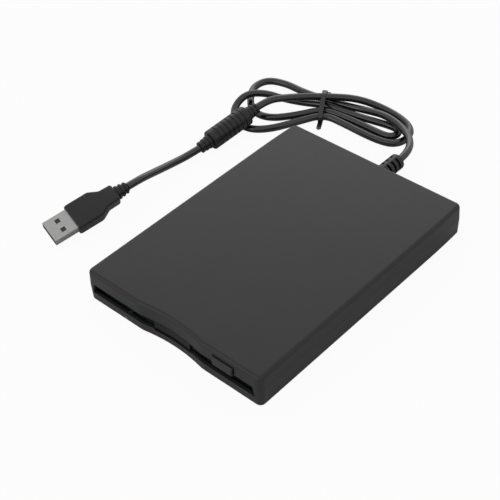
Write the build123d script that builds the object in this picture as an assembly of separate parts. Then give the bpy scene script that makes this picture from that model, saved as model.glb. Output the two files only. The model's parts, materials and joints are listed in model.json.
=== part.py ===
from build123d import *
import math
import os

# External 3.5-inch floppy disk drive with a captive USB lead.
# Frame: +X right seen from the front, front face towards -Y, +Z up.
# Origin: bottom centre of the case, on the surface that the feet stand on.
# All lengths in millimetres, all angles in degrees.

# ---------------------------------------------------------------- case
CASE_H = 16.6
FOOT_PROUD = 0.6
PARTING_H = 8.4
DRAFT = 2.4
WALL = 1.6
CORNER_R = 3.0
TOP_EDGE_R = 1.8
BOTTOM_EDGE_R = 0.9
REAR_PULL_IN = 0.7
REAR_PULL_L = 25.0
RECESS_HALF_W = 17.5
RECESS_DEPTH = 1.8
RECESS_BLEND_R = 14.0
RIM_T = 0.7
RIM_H = 1.0
RIM_CLEAR = 0.15
HOOK_SET_IN = 1.0
HOOK_T = 0.9
HOOK_FROM_FRONT = 6.0
HOOK_W = 4.0
HOOK_DEPTH = 1.9
HOOK_BARB = 0.9
FOOT_R = 4.5
FOOT_H = 1.5
FOOT_INSET = 13.0
FOOT_CLEAR = 0.2

# ---------------------------------------------------------------- disk slot and door
DISK_W = 90.0
SLOT_BOTTOM_H = 4.8
SLOT_TOP_H = 10.1
SLOT_BOTTOM_MARGIN = 2.9
SLOT_TOP_MARGIN = 1.6
NOTCH_HALF_W = 10.7
NOTCH_DEPTH = 0.9
DOOR_T = 0.8
DOOR_MARGIN = 0.9
DOOR_PIVOT_Y = 3.2
DOOR_PIVOT_RISE = 1.1
DOOR_TOP_RISE = 0.4
DOOR_BOTTOM_GAP = 0.5
DOOR_PIN_R = 0.6
DOOR_PIN_L = 1.6
DOOR_TAB_CLEAR = 0.3
DOOR_TAB_LIFT = 1.35
DOOR_WALL = 0.8
EAR_W = 2.0
EAR_GAP = 0.4
DOOR_SPRING_X = 19.0
DOOR_SPRING_W = 3.6
DOOR_SPRING_CORE_R = 0.4
SPRING_WIRE = 0.3

# ---------------------------------------------------------------- eject button and slider
BUTTON_X = 30.7
BUTTON_W = 11.3
BUTTON_OVERHANG = 0.8
BUTTON_H = 4.4
BUTTON_PROUD = 1.0
BUTTON_DEPTH = 2.4
BUTTON_EDGE_R = 0.7
BUTTON_GAP = 0.4
STEM_W = 7.0
STEM_DOOR_GAP = 0.5
STEM_T = 1.5
EJECT_TRAVEL = 5.5
SHEET_T = 0.6
SLIDER_LIFT = 0.4
SLIDER_SET_BACK = 3.5
SLIDER_BAR_D = 14.0
SLIDER_RAIL_W = 6.9
SLIDER_SHORT_BY = 5.0
SLIDER_WINDOW = (-22.0, 16.0)
SLIDE_GAP = 0.3
GUIDE_FROM_LUG = 25.0
GUIDE_Z = 10.6
GUIDE_R = 0.7
SLIDER_SPRING_SET_IN = 3.5
SLIDER_SPRING_Z = 13.3
SLIDER_SPRING_R = 0.95
SLIDER_SPRING_SPAN = 20.0
SPRING_TAB_T = 0.8
FLANGE_Z0 = 8.8
CHEEK_Z0 = 5.4
CHEEK_MARGIN = 3.4

# ---------------------------------------------------------------- disk holder
HOLDER_DROP = 2.0
DISK_SIDE_CLEAR = 0.4
DOOR_BAY = 12.0
HOLDER_L = 87.0
HOLDER_FLARE_INSET = 16.0
HEAD_GAP_HALF_W = 10.0
HEAD_GAP_FROM_HUB = 18.0
HOLDER_Z0 = 5.8
HOLDER_GAP = 4.2
HOLDER_LIP_W = 8.0
LUG_R = 1.0
LUG_Z = 9.0
FRONT_LUG_INSET = 13.0
REAR_LUG_INSET = 14.0
LUG_SET_BACK = 0.3
CAM_CLEAR = 0.2

# ---------------------------------------------------------------- shutter lever
LEVER_PIVOT_INSET = 10.9
LEVER_PIVOT_FROM_HUB = 23.6
LEVER_REACH_X = 23.1
LEVER_PIN_FROM_HUB = 26.0
LEVER_SWING = 61.0
LEVER_T = 0.8
LEVER_HUB_R = 2.6
LEVER_TIP_R = 1.7
LEVER_PIN_R = 1.0
LEVER_PIN_L = 4.2
LEVER_LIFT = 0.1
PIVOT_R = 1.2
RUN_CLEAR = 0.05

# ---------------------------------------------------------------- chassis
CHASSIS_Z = 3.0
CHASSIS_WALL_T = 1.0
SHELL_GAP = 1.2
SIDE_WINDOW_INSET = 17.2
CHASSIS_TOP_Z = 12.0
CHASSIS_SET_BACK = 1.0
REAR_BAY = 16.0
FRONT_SCREW_INSET = (15.2, 4.0)
REAR_SCREW_INSET = (6.2, 5.5)
SCREW_SHANK_R = 0.9
SCREW_HEAD_R = 1.8
BOSS_R = 2.6
CASE_SCREW_INSET = (6.5, 5.5)
CASE_SCREW_R = 1.2
CASE_SCREW_HEAD_R = 2.3
CASE_SCREW_HEAD_H = 1.5
CASE_BOSS_R = 3.3
SCREW_CLEAR = 0.2

# ---------------------------------------------------------------- spindle
HUB_FROM_MOUTH = 40.0
ROTOR_R = 15.0
ROTOR_Z = 3.5
ROTOR_T = 0.7
PLATTER_R = 9.5
PLATTER_T = 0.3
SHAFT_R = 1.5
SHAFT_TOP_Z = 6.2
DRIVE_PIN_R = 0.8
DRIVE_PIN_AT = 7.6
STATOR_R = 19.0
COIL_COUNT = 9
COIL_R = 2.3
COIL_AT = 10.5

# ---------------------------------------------------------------- heads and carriage
TRACKS_TRAVEL = 14.8
CARRIAGE_STOP_GAP = 0.4
CARRIAGE_REAR_GAP = 1.4
CARRIAGE_D = 4.0
CARRIAGE_HALF_W = 17.0
CARRIAGE_Z0 = 4.2
CARRIAGE_Z1 = 9.6
HEAD_FROM_HUB = 39.5
TONGUE_HALF_W = 6.0
TONGUE_T = 1.2
TONGUE_LEAD = 3.5
HEAD_R = 2.2
HEAD_TOP_Z = 6.0
RAIL_X = 14.0
RAIL_Z = 7.0
SCREW_R = 1.25
ROD_R = 1.0
BUSH_GAP = 1.2
BUSH_D = 1.6
ARM_HINGE_Z = 11.6
ARM_T = 0.8
ARM_HALF_W = 5.0
ARM_PIN_R = 0.8
MOTOR_R = 4.6
MOTOR_L = 9.6
FLAG_Z = 5.1
FLAG_T = 0.5
FLAG_X = 21.0
FLEX_W = 5.0
FLEX_T = 0.2

# ---------------------------------------------------------------- boards and switches
BOARD_T = 0.6
BOARD_SIDE_GAP = 3.9
BOARD_FRONT_GAP = 4.2
BOARD_STRIP_TO_HUB = 20.5
BOARD_SIDE_OVERLAP = 11.0
SWITCH_FROM_FRONT = 9.4
CORNER_SWITCH_INSET = 5.0
MEDIA_SWITCH_INSET = 11.0
SWITCH_BODY = 4.0
SWITCH_BODY_H = 1.4
PLUNGER_R = 0.75
PLUNGER_RISE = 1.0
PLUNGER_TRAVEL = 0.8
LED_X = -27.4
LED_H = 1.8
LED_R = 0.75
USB_BOARD_INSET = 5.5
USB_BOARD_TO_RELIEF = 11.5
USB_BOARD_FRONT_GAP = 1.2
USB_BOARD_REAR_GAP = 4.0
LINK_SET_IN = 0.4
LINK_D = 2.0
LINK_MARGIN = 0.9
USB_BOARD_Z = 5.0

# ---------------------------------------------------------------- lead
CABLE_D = 3.8
RELIEF_X = 1.5
RELIEF_Z = 8.0
RELIEF_R = 4.1
RELIEF_L = 16.5
RELIEF_NECK_R = 3.1
RELIEF_RIB_COUNT = 4
FERRITE_R = 5.25
FERRITE_L = 24.5
FERRITE_CORE_R = 4.2
FERRITE_CORE_L = 20.0
FERRITE_RELIEF_L = 7.0
FERRITE_END = (-84.2, 43.6, 5.5)
FERRITE_FAR = (-80.8, 67.2, 9.6)
TIE_AT = (-60.5, 105.0)
TIE_HEADING = -60.0
TIE_T = 0.6
TIE_W = 2.4
TIE_INNER_R = 1.95
TIE_LIFT = 0.05
TIE_HEAD = (2.6, 4.2, 4.2)
TIE_TAIL_L = 6.0
# the passes that the strap bends round, as (across, height) in the strap's own plane
TIE_ROUND = [(-7.8, 2.6), (8.9, 2.6), (-4.3, 7.4), (-2.2, 7.4)]
PLUG_TIP = (-94.2, -55.9, 4.3)
PLUG_AXIS = (0.238, 0.955, 0.174)
PLUG_WIDTH_AXIS = (0.92, -0.165, -0.355)
PLUG_SHELL_W = 12.0
PLUG_SHELL_H = 4.5
PLUG_SHELL_OUT = 12.6
PLUG_SHELL_L = 18.0
PLUG_SHELL_T = 0.3
PLUG_BODY_W = 14.6
PLUG_BODY_H = 7.8
PLUG_BODY_L = 17.5
PLUG_STEP_W = 9.4
PLUG_STEP_H = 6.6
PLUG_STEP_L = 7.0
PLUG_NECK_R = 3.1
PLUG_NECK_L = 6.5

# Route of the lead, by hand, between the pieces it is moulded into; z is the cable's centre.
ROUTE_CASE_TO_FERRITE = [
    (1.5, 95.0, 8.0),
    (-4.5, 105.5, 7.2),
    (-15.0, 112.0, 6.6),
    (-27.5, 115.2, 6.4),
    (-40.0, 116.0, 3.4),
    (-53.0, 113.5, 2.4),
    (-65.6, 110.6, 2.7),
    (-79.0, 109.8, 2.0),
    (-91.0, 110.3, 1.9),
    (-101.3, 106.6, 1.9),
    (-103.0, 96.8, 1.9),
    (-96.5, 87.2, 1.9),
    (-88.0, 79.4, 1.9),
    (-77.0, 80.3, 1.9),
    (-67.6, 91.3, 1.9),
    (-59.5, 103.2, 2.7),
    (-46.0, 105.4, 2.2),
    (-33.5, 106.0, 1.9),
    (-26.0, 105.7, 1.9),
    (-18.6, 106.2, 1.9),
    (-16.0, 110.3, 1.9),
    (-18.4, 114.5, 1.9),
    (-26.0, 114.0, 1.9),
    (-34.0, 112.1, 1.9),
    (-47.0, 109.6, 2.0),
    (-61.3, 107.1, 2.7),
    (-71.5, 102.3, 2.2),
    (-81.5, 97.2, 3.2),
    (-89.8, 91.6, 6.5),
    (-97.0, 84.6, 6.6),
    (-97.2, 75.0, 2.8),
    (-89.5, 67.6, 1.9),
    (-78.5, 66.6, 1.9),
    (-70.2, 74.0, 1.9),
    (-64.0, 86.5, 1.9),
    (-56.3, 100.1, 2.7),
    (-43.0, 100.9, 2.0),
    (-30.0, 100.4, 1.9),
    (-19.5, 100.8, 1.9),
    (-12.5, 103.3, 1.9),
    (-10.2, 110.5, 1.9),
    (-13.2, 118.3, 1.9),
    (-22.0, 122.8, 2.0),
    (-36.0, 124.0, 2.6),
    (-48.0, 117.6, 6.8),
    (-60.8, 108.7, 7.2),
    (-69.6, 101.8, 7.3),
    (-74.6, 92.3, 9.6),
    (-78.6, 81.9, 12.2),
]
ROUTE_FERRITE_TO_PLUG = [
    (-86.3, 29.0, 2.95),
    (-86.0, 17.5, 4.7),
    (-83.7, 3.5, 9.6),
    (-81.9, -6.7, 13.2),
]
CABLE_BEND_SHARE = 0.45

# ================================================================ derived places
HOLDER_HALF_W = DISK_W / 2 + DISK_SIDE_CLEAR + SHEET_T
SLIDER_HALF_W = HOLDER_HALF_W + SLIDE_GAP + SHEET_T
CHASSIS_HALF_W = SLIDER_HALF_W + SLIDE_GAP + CHASSIS_WALL_T
CASE_W = 2 * (CHASSIS_HALF_W + SHELL_GAP + WALL)
HEAD_BAY = BUSH_GAP + BUSH_D + CARRIAGE_STOP_GAP + TRACKS_TRAVEL + CARRIAGE_D + CARRIAGE_REAR_GAP + BUSH_D
CASE_D = DOOR_BAY + HOLDER_L + HEAD_BAY + REAR_BAY
CASE_Z0 = FOOT_PROUD
CASE_Z1 = CASE_Z0 + CASE_H
PARTING_Z = CASE_Z0 + PARTING_H
FLOOR_Z = CASE_Z0 + WALL
CEILING_Z = CASE_Z1 - WALL
FRONT_Y = -CASE_D / 2
REAR_Y = CASE_D / 2
SIDE_STRAIGHT_TO_Y = REAR_Y - REAR_PULL_L
FOOT_X = CASE_W / 2 - FOOT_INSET
FOOT_Y = CASE_D / 2 - FOOT_INSET
CASE_SCREW_X = CASE_W / 2 - CASE_SCREW_INSET[0]
CASE_SCREW_Y = REAR_Y - CASE_SCREW_INSET[1]
HOOK_X = CASE_W / 2 - WALL - HOOK_SET_IN
HOOK_YS = (FRONT_Y + HOOK_FROM_FRONT, FRONT_Y + HOOK_FROM_FRONT + HOOK_W)
SLOT_HALF_BOTTOM = DISK_W / 2 + SLOT_BOTTOM_MARGIN
SLOT_HALF_TOP = DISK_W / 2 + SLOT_TOP_MARGIN
DOOR_HALF_W = DISK_W / 2 + DOOR_MARGIN
SLOT_Z0 = CASE_Z0 + SLOT_BOTTOM_H
SLOT_Z1 = CASE_Z0 + SLOT_TOP_H
PIVOT_Y = FRONT_Y + DOOR_PIVOT_Y
PIVOT_Z = SLOT_Z1 + DOOR_PIVOT_RISE
BUTTON_Z0 = SLOT_Z1 - BUTTON_OVERHANG
BUTTON_Z1 = BUTTON_Z0 + BUTTON_H
STEM_Z0 = PIVOT_Z + DOOR_TOP_RISE + STEM_DOOR_GAP
HOLDER_GAP_Z0 = HOLDER_Z0 + SHEET_T
ROOF_Z = HOLDER_GAP_Z0 + HOLDER_GAP
ROOF_TOP_Z = ROOF_Z + SHEET_T
SLIDER_Z = ROOF_TOP_Z + SLIDER_LIFT
SLIDER_TOP_Z = SLIDER_Z + SHEET_T
HOLDER_FRONT_Y = FRONT_Y + DOOR_BAY
HOLDER_REAR_Y = HOLDER_FRONT_Y + HOLDER_L
HOLDER_LIP_X = HOLDER_HALF_W - HOLDER_LIP_W
HUB_Y = HOLDER_FRONT_Y + HUB_FROM_MOUTH
HEAD_Y = HUB_Y + HEAD_FROM_HUB
LUG_YS = (HOLDER_FRONT_Y + FRONT_LUG_INSET, HOLDER_REAR_Y - REAR_LUG_INSET)
LUG_REACH = SLIDE_GAP + SHEET_T + SLIDE_GAP + CHASSIS_WALL_T - LUG_SET_BACK
SLIDER_FRONT_Y = HOLDER_FRONT_Y + SLIDER_SET_BACK
SLIDER_REAR_Y = HOLDER_REAR_Y - SLIDER_SHORT_BY
GUIDE_Y = LUG_YS[0] + GUIDE_FROM_LUG
SLIDER_TAB_Y = GUIDE_Y + SLIDER_SPRING_SPAN
SLIDER_SPRING_X = SLIDER_SPRING_SET_IN - SLIDER_HALF_W
BUSH_Y0 = HOLDER_REAR_Y + BUSH_GAP
CARRIAGE_Y0 = BUSH_Y0 + BUSH_D + CARRIAGE_STOP_GAP + TRACKS_TRAVEL
SIDE_WINDOW_X = CHASSIS_HALF_W - SIDE_WINDOW_INSET
CHASSIS_FRONT_Y = HOLDER_FRONT_Y + CHASSIS_SET_BACK
CHASSIS_REAR_Y = CARRIAGE_Y0 + CARRIAGE_D + CARRIAGE_REAR_GAP + BUSH_D
FRONT_SCREW = (CHASSIS_HALF_W - FRONT_SCREW_INSET[0], CHASSIS_FRONT_Y + FRONT_SCREW_INSET[1])
REAR_SCREW = (CHASSIS_HALF_W - REAR_SCREW_INSET[0], CHASSIS_REAR_Y - REAR_SCREW_INSET[1])
CHASSIS_SCREWS = [(side * x, y) for x, y in (FRONT_SCREW, REAR_SCREW) for side in (-1, 1)]
WALL_INNER_X = CHASSIS_HALF_W - CHASSIS_WALL_T
CHASSIS_TOP_OF_FLOOR = CHASSIS_Z + SHEET_T
BOARD_TOP_Z = FLOOR_Z + BOARD_T
BOARD_HALF_W = CASE_W / 2 - WALL - BOARD_SIDE_GAP
BOARD_SIDE_X = BOARD_SIDE_OVERLAP - SIDE_WINDOW_X
BOARD_FRONT_Y = FRONT_Y + BOARD_FRONT_GAP
BOARD_STRIP_REAR_Y = HUB_Y - BOARD_STRIP_TO_HUB
USB_X0 = USB_BOARD_INSET - BOARD_HALF_W
USB_X1 = RELIEF_X - USB_BOARD_TO_RELIEF
USB_Y0 = CHASSIS_REAR_Y + USB_BOARD_FRONT_GAP
USB_Y1 = REAR_Y - USB_BOARD_REAR_GAP
BOARD_REAR_Y = USB_Y0 + LINK_SET_IN + LINK_D + LINK_MARGIN
SWITCH_Y = FRONT_Y + SWITCH_FROM_FRONT
CORNER_SWITCH_X = DISK_W / 2 - CORNER_SWITCH_INSET
SWITCH_XS = {
    "media": DISK_W / 2 - MEDIA_SWITCH_INSET,
    "protect": CORNER_SWITCH_X,
    "density": -CORNER_SWITCH_X,
}
ARM_HINGE_Y = CARRIAGE_Y0 + CARRIAGE_D / 2
LEVER_PIVOT = (HOLDER_HALF_W - LEVER_PIVOT_INSET, HUB_Y + LEVER_PIVOT_FROM_HUB)
LEVER_PIN = (LEVER_PIVOT[0] - LEVER_REACH_X, HUB_Y + LEVER_PIN_FROM_HUB)
LEVER_R = math.dist(LEVER_PIVOT, LEVER_PIN)
LEVER_Z = ROOF_TOP_Z + LEVER_LIFT


# ================================================================ small helpers
def box(x0, x1, y0, y1, z0, z1):
    """A block between two corners."""
    centre = Pos((x0 + x1) / 2, (y0 + y1) / 2, (z0 + z1) / 2)
    return centre * Box(x1 - x0, y1 - y0, z1 - z0)


def rod_x(radius, x0, x1, y, z):
    return Pos((x0 + x1) / 2, y, z) * Rot(0, 90, 0) * Cylinder(radius, x1 - x0)


def rod_y(radius, y0, y1, x, z):
    return Pos(x, (y0 + y1) / 2, z) * Rot(90, 0, 0) * Cylinder(radius, y1 - y0)


def rod_z(radius, z0, z1, x, y):
    return Pos(x, y, (z0 + z1) / 2) * Cylinder(radius, z1 - z0)


def mirrored(part):
    return mirror(part, about=Plane.YZ)


def both_sides(part):
    return part + mirrored(part)


def slab(sketch, z0, z1):
    """A flat sketch on XY made into a plate from z0 to z1."""
    return extrude(Pos(0, 0, z0) * sketch, z1 - z0)


def coil(mean_r, wire_d, turns, pitch):
    """A wound spring along +Z from the origin."""
    path = Helix(pitch=pitch, height=turns * pitch, radius=mean_r)
    section = Plane(origin=path @ 0, z_dir=path % 0) * Circle(wire_d / 2)
    return sweep(section, path=path, is_frenet=True)


# ================================================================ case shells
def case_outline(inset=0.0):
    """The case in plan at its parting line: straight sides that pull in at the rear."""
    half_w = CASE_W / 2
    rear_x = half_w - REAR_PULL_IN
    recess_end = (RECESS_HALF_W, FRONT_Y)
    front_corner = (half_w, FRONT_Y)
    bend_start = (half_w, SIDE_STRAIGHT_TO_Y)
    rear_corner = (rear_x, REAR_Y)

    def left(point):
        return (-point[0], point[1])

    edges = [
        ThreePointArc(left(recess_end), (0, FRONT_Y + RECESS_DEPTH), recess_end),
        Line(recess_end, front_corner),
        Line(front_corner, bend_start),
        TangentArc(bend_start, rear_corner, tangent=(0, 1)),
        Line(rear_corner, left(rear_corner)),
        TangentArc(left(bend_start), left(rear_corner), tangent=(0, 1)),
        Line(left(bend_start), left(front_corner)),
        Line(left(front_corner), left(recess_end)),
    ]
    face = make_face(edges)
    blends = [v for v in face.vertices() if abs(abs(v.X) - RECESS_HALF_W) < 0.1 and v.Y < 0]
    face = fillet(blends, RECESS_BLEND_R)
    corners = [v for v in face.vertices() if abs(v.X) > rear_x - 0.1 and abs(v.Y) > REAR_Y - 0.1]
    face = fillet(corners, CORNER_R)
    if inset:
        face = offset(face, -inset, kind=Kind.INTERSECTION)
    return face


def upper_block(inset, top_z, base_z=PARTING_Z):
    """The outline drawn upwards from the parting line, narrowing with the draft."""
    return extrude(Pos(0, 0, base_z) * case_outline(inset), top_z - base_z, taper=DRAFT)


def lower_block(inset, bottom_z):
    """The outline drawn downwards from the parting line, narrowing with the draft."""
    face = Pos(0, 0, PARTING_Z) * case_outline(inset)
    return extrude(face, PARTING_Z - bottom_z, dir=(0, 0, -1), taper=DRAFT)


def slot_cutter():
    """The disk slot's slanted ends, and the finger notch in its lower lip."""
    profile = Polyline(
        (-SLOT_HALF_BOTTOM, SLOT_Z0),
        (SLOT_HALF_BOTTOM, SLOT_Z0),
        (SLOT_HALF_TOP, SLOT_Z1),
        (-SLOT_HALF_TOP, SLOT_Z1),
        close=True,
    )
    through = DOOR_PIVOT_Y + 1.0
    slot = extrude(Plane.XZ.offset(-FRONT_Y + 1.0) * make_face(profile), -through - 1.0)
    notch = box(
        -NOTCH_HALF_W, NOTCH_HALF_W, FRONT_Y - 1, FRONT_Y + through,
        SLOT_Z0 - NOTCH_DEPTH, SLOT_Z0 + 1,
    )
    return slot + notch


def button_window():
    """The button's opening above the slot, open to it below."""
    half = BUTTON_W / 2 + BUTTON_GAP
    return box(
        BUTTON_X - half, BUTTON_X + half, FRONT_Y - 1, PIVOT_Y + 1,
        SLOT_Z1 - 1, BUTTON_Z1 + BUTTON_GAP,
    )


def relief_hole():
    return rod_y(RELIEF_NECK_R + 0.1, REAR_Y - WALL - 1, REAR_Y + 1, RELIEF_X, RELIEF_Z)


def top_cover():
    shell = upper_block(0, CASE_Z1)
    top_edges = shell.faces().sort_by(Axis.Z)[-1].edges()
    shell = fillet(top_edges, TOP_EDGE_R)
    shell -= upper_block(WALL, CEILING_Z)
    # rim that drops inside the lower shell's rebate
    inner = Pos(0, 0, PARTING_Z - RIM_H) * case_outline(WALL)
    outer = Pos(0, 0, PARTING_Z - RIM_H) * case_outline(WALL - RIM_T)
    shell += extrude(outer - inner, RIM_H)
    # thinner wall behind the front face where the door's top edge turns
    shell -= box(
        -DOOR_HALF_W - EAR_GAP, DOOR_HALF_W + EAR_GAP,
        FRONT_Y + RECESS_DEPTH + DOOR_WALL, PIVOT_Y + 1,
        PARTING_Z - RIM_H - 1, PIVOT_Z + DOOR_TOP_RISE + 1.0,
    )
    shell += both_sides(door_ear())
    boss = rod_z(CASE_BOSS_R, PARTING_Z, CEILING_Z + 0.2, CASE_SCREW_X, CASE_SCREW_Y)
    boss -= rod_z(CASE_SCREW_R + RUN_CLEAR, PARTING_Z, CEILING_Z - 2, CASE_SCREW_X, CASE_SCREW_Y)
    shell += both_sides(boss)
    shell += both_sides(snap_hook())
    shell -= slot_cutter()
    shell -= button_window()
    shell -= relief_hole()
    return shell


def door_ear():
    """Lug on the upper shell with a blind bore for the door's pin."""
    x0 = DOOR_HALF_W + EAR_GAP
    below = PIVOT_Z - DOOR_PIN_R - 0.8
    ear = box(x0, x0 + EAR_W, FRONT_Y + WALL / 2, PIVOT_Y + 1.4, below, CEILING_Z + 0.2)
    bore = rod_x(DOOR_PIN_R + RUN_CLEAR, x0 - 1, x0 + DOOR_PIN_L, PIVOT_Y, PIVOT_Z)
    return ear - bore


def snap_hook():
    """Latch blade at the front corner, with its barb turned outwards."""
    tip_z = PARTING_Z - HOOK_DEPTH
    blade = box(HOOK_X - HOOK_T, HOOK_X, *HOOK_YS, tip_z, CEILING_Z + 0.2)
    barb = Polyline(
        (HOOK_X - 0.2, tip_z), (HOOK_X, tip_z), (HOOK_X + HOOK_BARB, tip_z + 0.6),
        (HOOK_X + HOOK_BARB, tip_z + 0.9), (HOOK_X - 0.2, tip_z + 0.9), close=True,
    )
    wedge = extrude(Plane.XZ.offset(-HOOK_YS[1]) * make_face(barb), HOOK_YS[1] - HOOK_YS[0])
    return blade + wedge


def bottom_cover():
    shell = lower_block(0, CASE_Z0)
    bottom_edges = shell.faces().sort_by(Axis.Z)[0].edges()
    shell = fillet(bottom_edges, BOTTOM_EDGE_R)
    shell -= lower_block(WALL, FLOOR_Z)
    # rebate that takes the upper shell's rim
    rebate = Pos(0, 0, PARTING_Z - RIM_H - RIM_CLEAR) * case_outline(WALL - RIM_T - RIM_CLEAR)
    shell -= extrude(rebate, RIM_H + RIM_CLEAR)
    for x, y in CHASSIS_SCREWS:
        shell += rod_z(BOSS_R, FLOOR_Z - 0.1, CHASSIS_Z, x, y)
        shell -= rod_z(SCREW_SHANK_R + RUN_CLEAR, CASE_Z0 + 0.6, CHASSIS_Z, x, y)
    for x in (-CASE_SCREW_X, CASE_SCREW_X):
        shell += rod_z(CASE_BOSS_R, FLOOR_Z - 0.1, PARTING_Z, x, CASE_SCREW_Y)
        shell -= rod_z(CASE_SCREW_R + SCREW_CLEAR, CASE_Z0, PARTING_Z, x, CASE_SCREW_Y)
        shell -= rod_z(
            CASE_SCREW_HEAD_R + SCREW_CLEAR, CASE_Z0 - 1, CASE_Z0 + 1 + CASE_SCREW_HEAD_H,
            x, CASE_SCREW_Y,
        )
    for x, y in foot_places():
        shell -= rod_z(FOOT_R + FOOT_CLEAR, CASE_Z0 - 1, FOOT_H, x, y)
    for x in (USB_X0 + 4, USB_X1 - 4):
        shell += rod_z(2.0, FLOOR_Z - 0.1, USB_BOARD_Z, x, USB_Y1 - 3.5)
    # pockets for the latch blades of the upper shell
    reach = HOOK_X + HOOK_BARB + 0.2
    pocket = box(
        HOOK_X - 0.6, reach, HOOK_YS[0] - 0.2, HOOK_YS[1] + 0.2,
        PARTING_Z - HOOK_DEPTH - 0.3, PARTING_Z - HOOK_DEPTH + 1.1,
    )
    shell -= both_sides(pocket)
    led_z = CASE_Z0 + LED_H
    shell -= rod_y(LED_R + RUN_CLEAR, FRONT_Y - 1, BOARD_FRONT_Y + 0.4, LED_X, led_z)
    shell -= box(
        LED_X - LED_R - 0.3, LED_X + LED_R + 0.3, FRONT_Y + WALL + 0.6, BOARD_FRONT_Y + 0.6,
        led_z - LED_R - 0.1, FLOOR_Z + 1,
    )
    shell -= slot_cutter()
    shell -= relief_hole()
    return shell


def foot_places():
    return [(x, y) for x in (-FOOT_X, FOOT_X) for y in (-FOOT_Y, FOOT_Y)]


def rubber_feet():
    foot = Cylinder(FOOT_R, FOOT_H)
    foot = fillet(foot.faces().sort_by(Axis.Z)[0].edges(), 0.4)
    return [Pos(x, y, FOOT_H / 2) * foot for x, y in foot_places()]


def case_screws():
    """Two countersunk screws that come up through the lower shell at the rear."""
    head_z = CASE_Z0 + 1.0
    places = [(x, CASE_SCREW_Y) for x in (-CASE_SCREW_X, CASE_SCREW_X)]
    screw = rod_z(CASE_SCREW_HEAD_R, 0, CASE_SCREW_HEAD_H, 0, 0)
    screw += rod_z(CASE_SCREW_R, CASE_SCREW_HEAD_H, PARTING_H + 2.4, 0, 0)
    for turn in (0, 90):
        screw -= Rot(0, 0, turn) * box(-1.4, 1.4, -0.25, 0.25, -1, 0.8)
    return [Pos(x, y, head_z) * screw for x, y in places]


def led_lens():
    """Light pipe through the lower lip, turned up at its inner end over the lamp."""
    z = CASE_Z0 + LED_H
    y_face = FRONT_Y + 0.1
    pipe = rod_y(LED_R, y_face, BOARD_FRONT_Y - 0.1, LED_X, z)
    return pipe + box(
        LED_X - LED_R, LED_X + LED_R, FRONT_Y + WALL + 1.0, BOARD_FRONT_Y - 0.1,
        z, BOARD_TOP_Z + 1.2,
    )


# ================================================================ dust door
def dust_door():
    """Flap behind the slot. Its centre tab stands flush with the recessed face."""
    panel = box(
        -DOOR_HALF_W, DOOR_HALF_W, PIVOT_Y - DOOR_T / 2, PIVOT_Y + DOOR_T / 2,
        SLOT_Z0 + DOOR_BOTTOM_GAP, PIVOT_Z + DOOR_TOP_RISE,
    )
    panel = fillet(panel.edges().filter_by(Axis.X).group_by(Axis.Z)[-1], DOOR_T / 2 - 0.05)
    tab = box(
        -NOTCH_HALF_W + DOOR_TAB_CLEAR, NOTCH_HALF_W - DOOR_TAB_CLEAR,
        FRONT_Y, PIVOT_Y, SLOT_Z0 + DOOR_TAB_LIFT, SLOT_Z1 - DOOR_TAB_CLEAR,
    )
    tab &= slab(case_outline(0.1), CASE_Z0, CASE_Z1)
    door = panel + tab
    # gap in the top edge where the return spring winds round the hinge line
    spring_gap = box(
        DOOR_SPRING_X, DOOR_SPRING_X + DOOR_SPRING_W, PIVOT_Y - 2, PIVOT_Y + 2,
        PIVOT_Z - 1.3, PIVOT_Z + 2,
    )
    door -= spring_gap
    door += rod_x(DOOR_SPRING_CORE_R, DOOR_SPRING_X, DOOR_SPRING_X + DOOR_SPRING_W, PIVOT_Y, PIVOT_Z)
    pin_end = DOOR_HALF_W + DOOR_PIN_L + EAR_GAP / 2
    door += both_sides(rod_x(DOOR_PIN_R, DOOR_HALF_W - 1, pin_end, PIVOT_Y, PIVOT_Z))
    return door


def door_spring():
    """Torsion spring: one leg on the flap, one against the upper shell's front wall."""
    mean_r = DOOR_SPRING_CORE_R + SPRING_WIRE / 2 + 0.15
    winding = coil(mean_r, SPRING_WIRE, 5, 0.5)
    winding = Pos(DOOR_SPRING_X + 0.5, PIVOT_Y, PIVOT_Z) * Rot(0, 90, 0) * winding
    leg_x = DOOR_SPRING_X + 0.5
    back_y = PIVOT_Y + DOOR_T / 2 + SPRING_WIRE / 2 + 0.05
    leg = rod_z(SPRING_WIRE / 2, PIVOT_Z - 3.2, PIVOT_Z, leg_x, back_y)
    return [winding, leg]


# ================================================================ eject button and slider
def eject_button():
    """Finger pad with a stem that runs back over the door and onto the slider."""
    pad = box(
        BUTTON_X - BUTTON_W / 2, BUTTON_X + BUTTON_W / 2,
        FRONT_Y - BUTTON_PROUD, FRONT_Y - BUTTON_PROUD + BUTTON_DEPTH,
        BUTTON_Z0, BUTTON_Z1,
    )
    front = pad.faces().sort_by(Axis.Y)[0]
    pad = fillet(front.edges(), BUTTON_EDGE_R)
    stem_rear = SLIDER_FRONT_Y + 8
    stem = box(
        BUTTON_X - STEM_W / 2, BUTTON_X + STEM_W / 2,
        FRONT_Y - BUTTON_PROUD + BUTTON_DEPTH - 0.5, stem_rear, STEM_Z0, STEM_Z0 + STEM_T,
    )
    seat = box(
        BUTTON_X - STEM_W / 2, BUTTON_X + STEM_W / 2, SLIDER_FRONT_Y + 1, stem_rear,
        SLIDER_TOP_Z, STEM_Z0 + STEM_T,
    )
    peg = rod_z(1.4, SLIDER_Z - 0.2, SLIDER_TOP_Z, BUTTON_X, SLIDER_FRONT_Y + 4.5)
    return pad + stem + seat + peg


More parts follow.
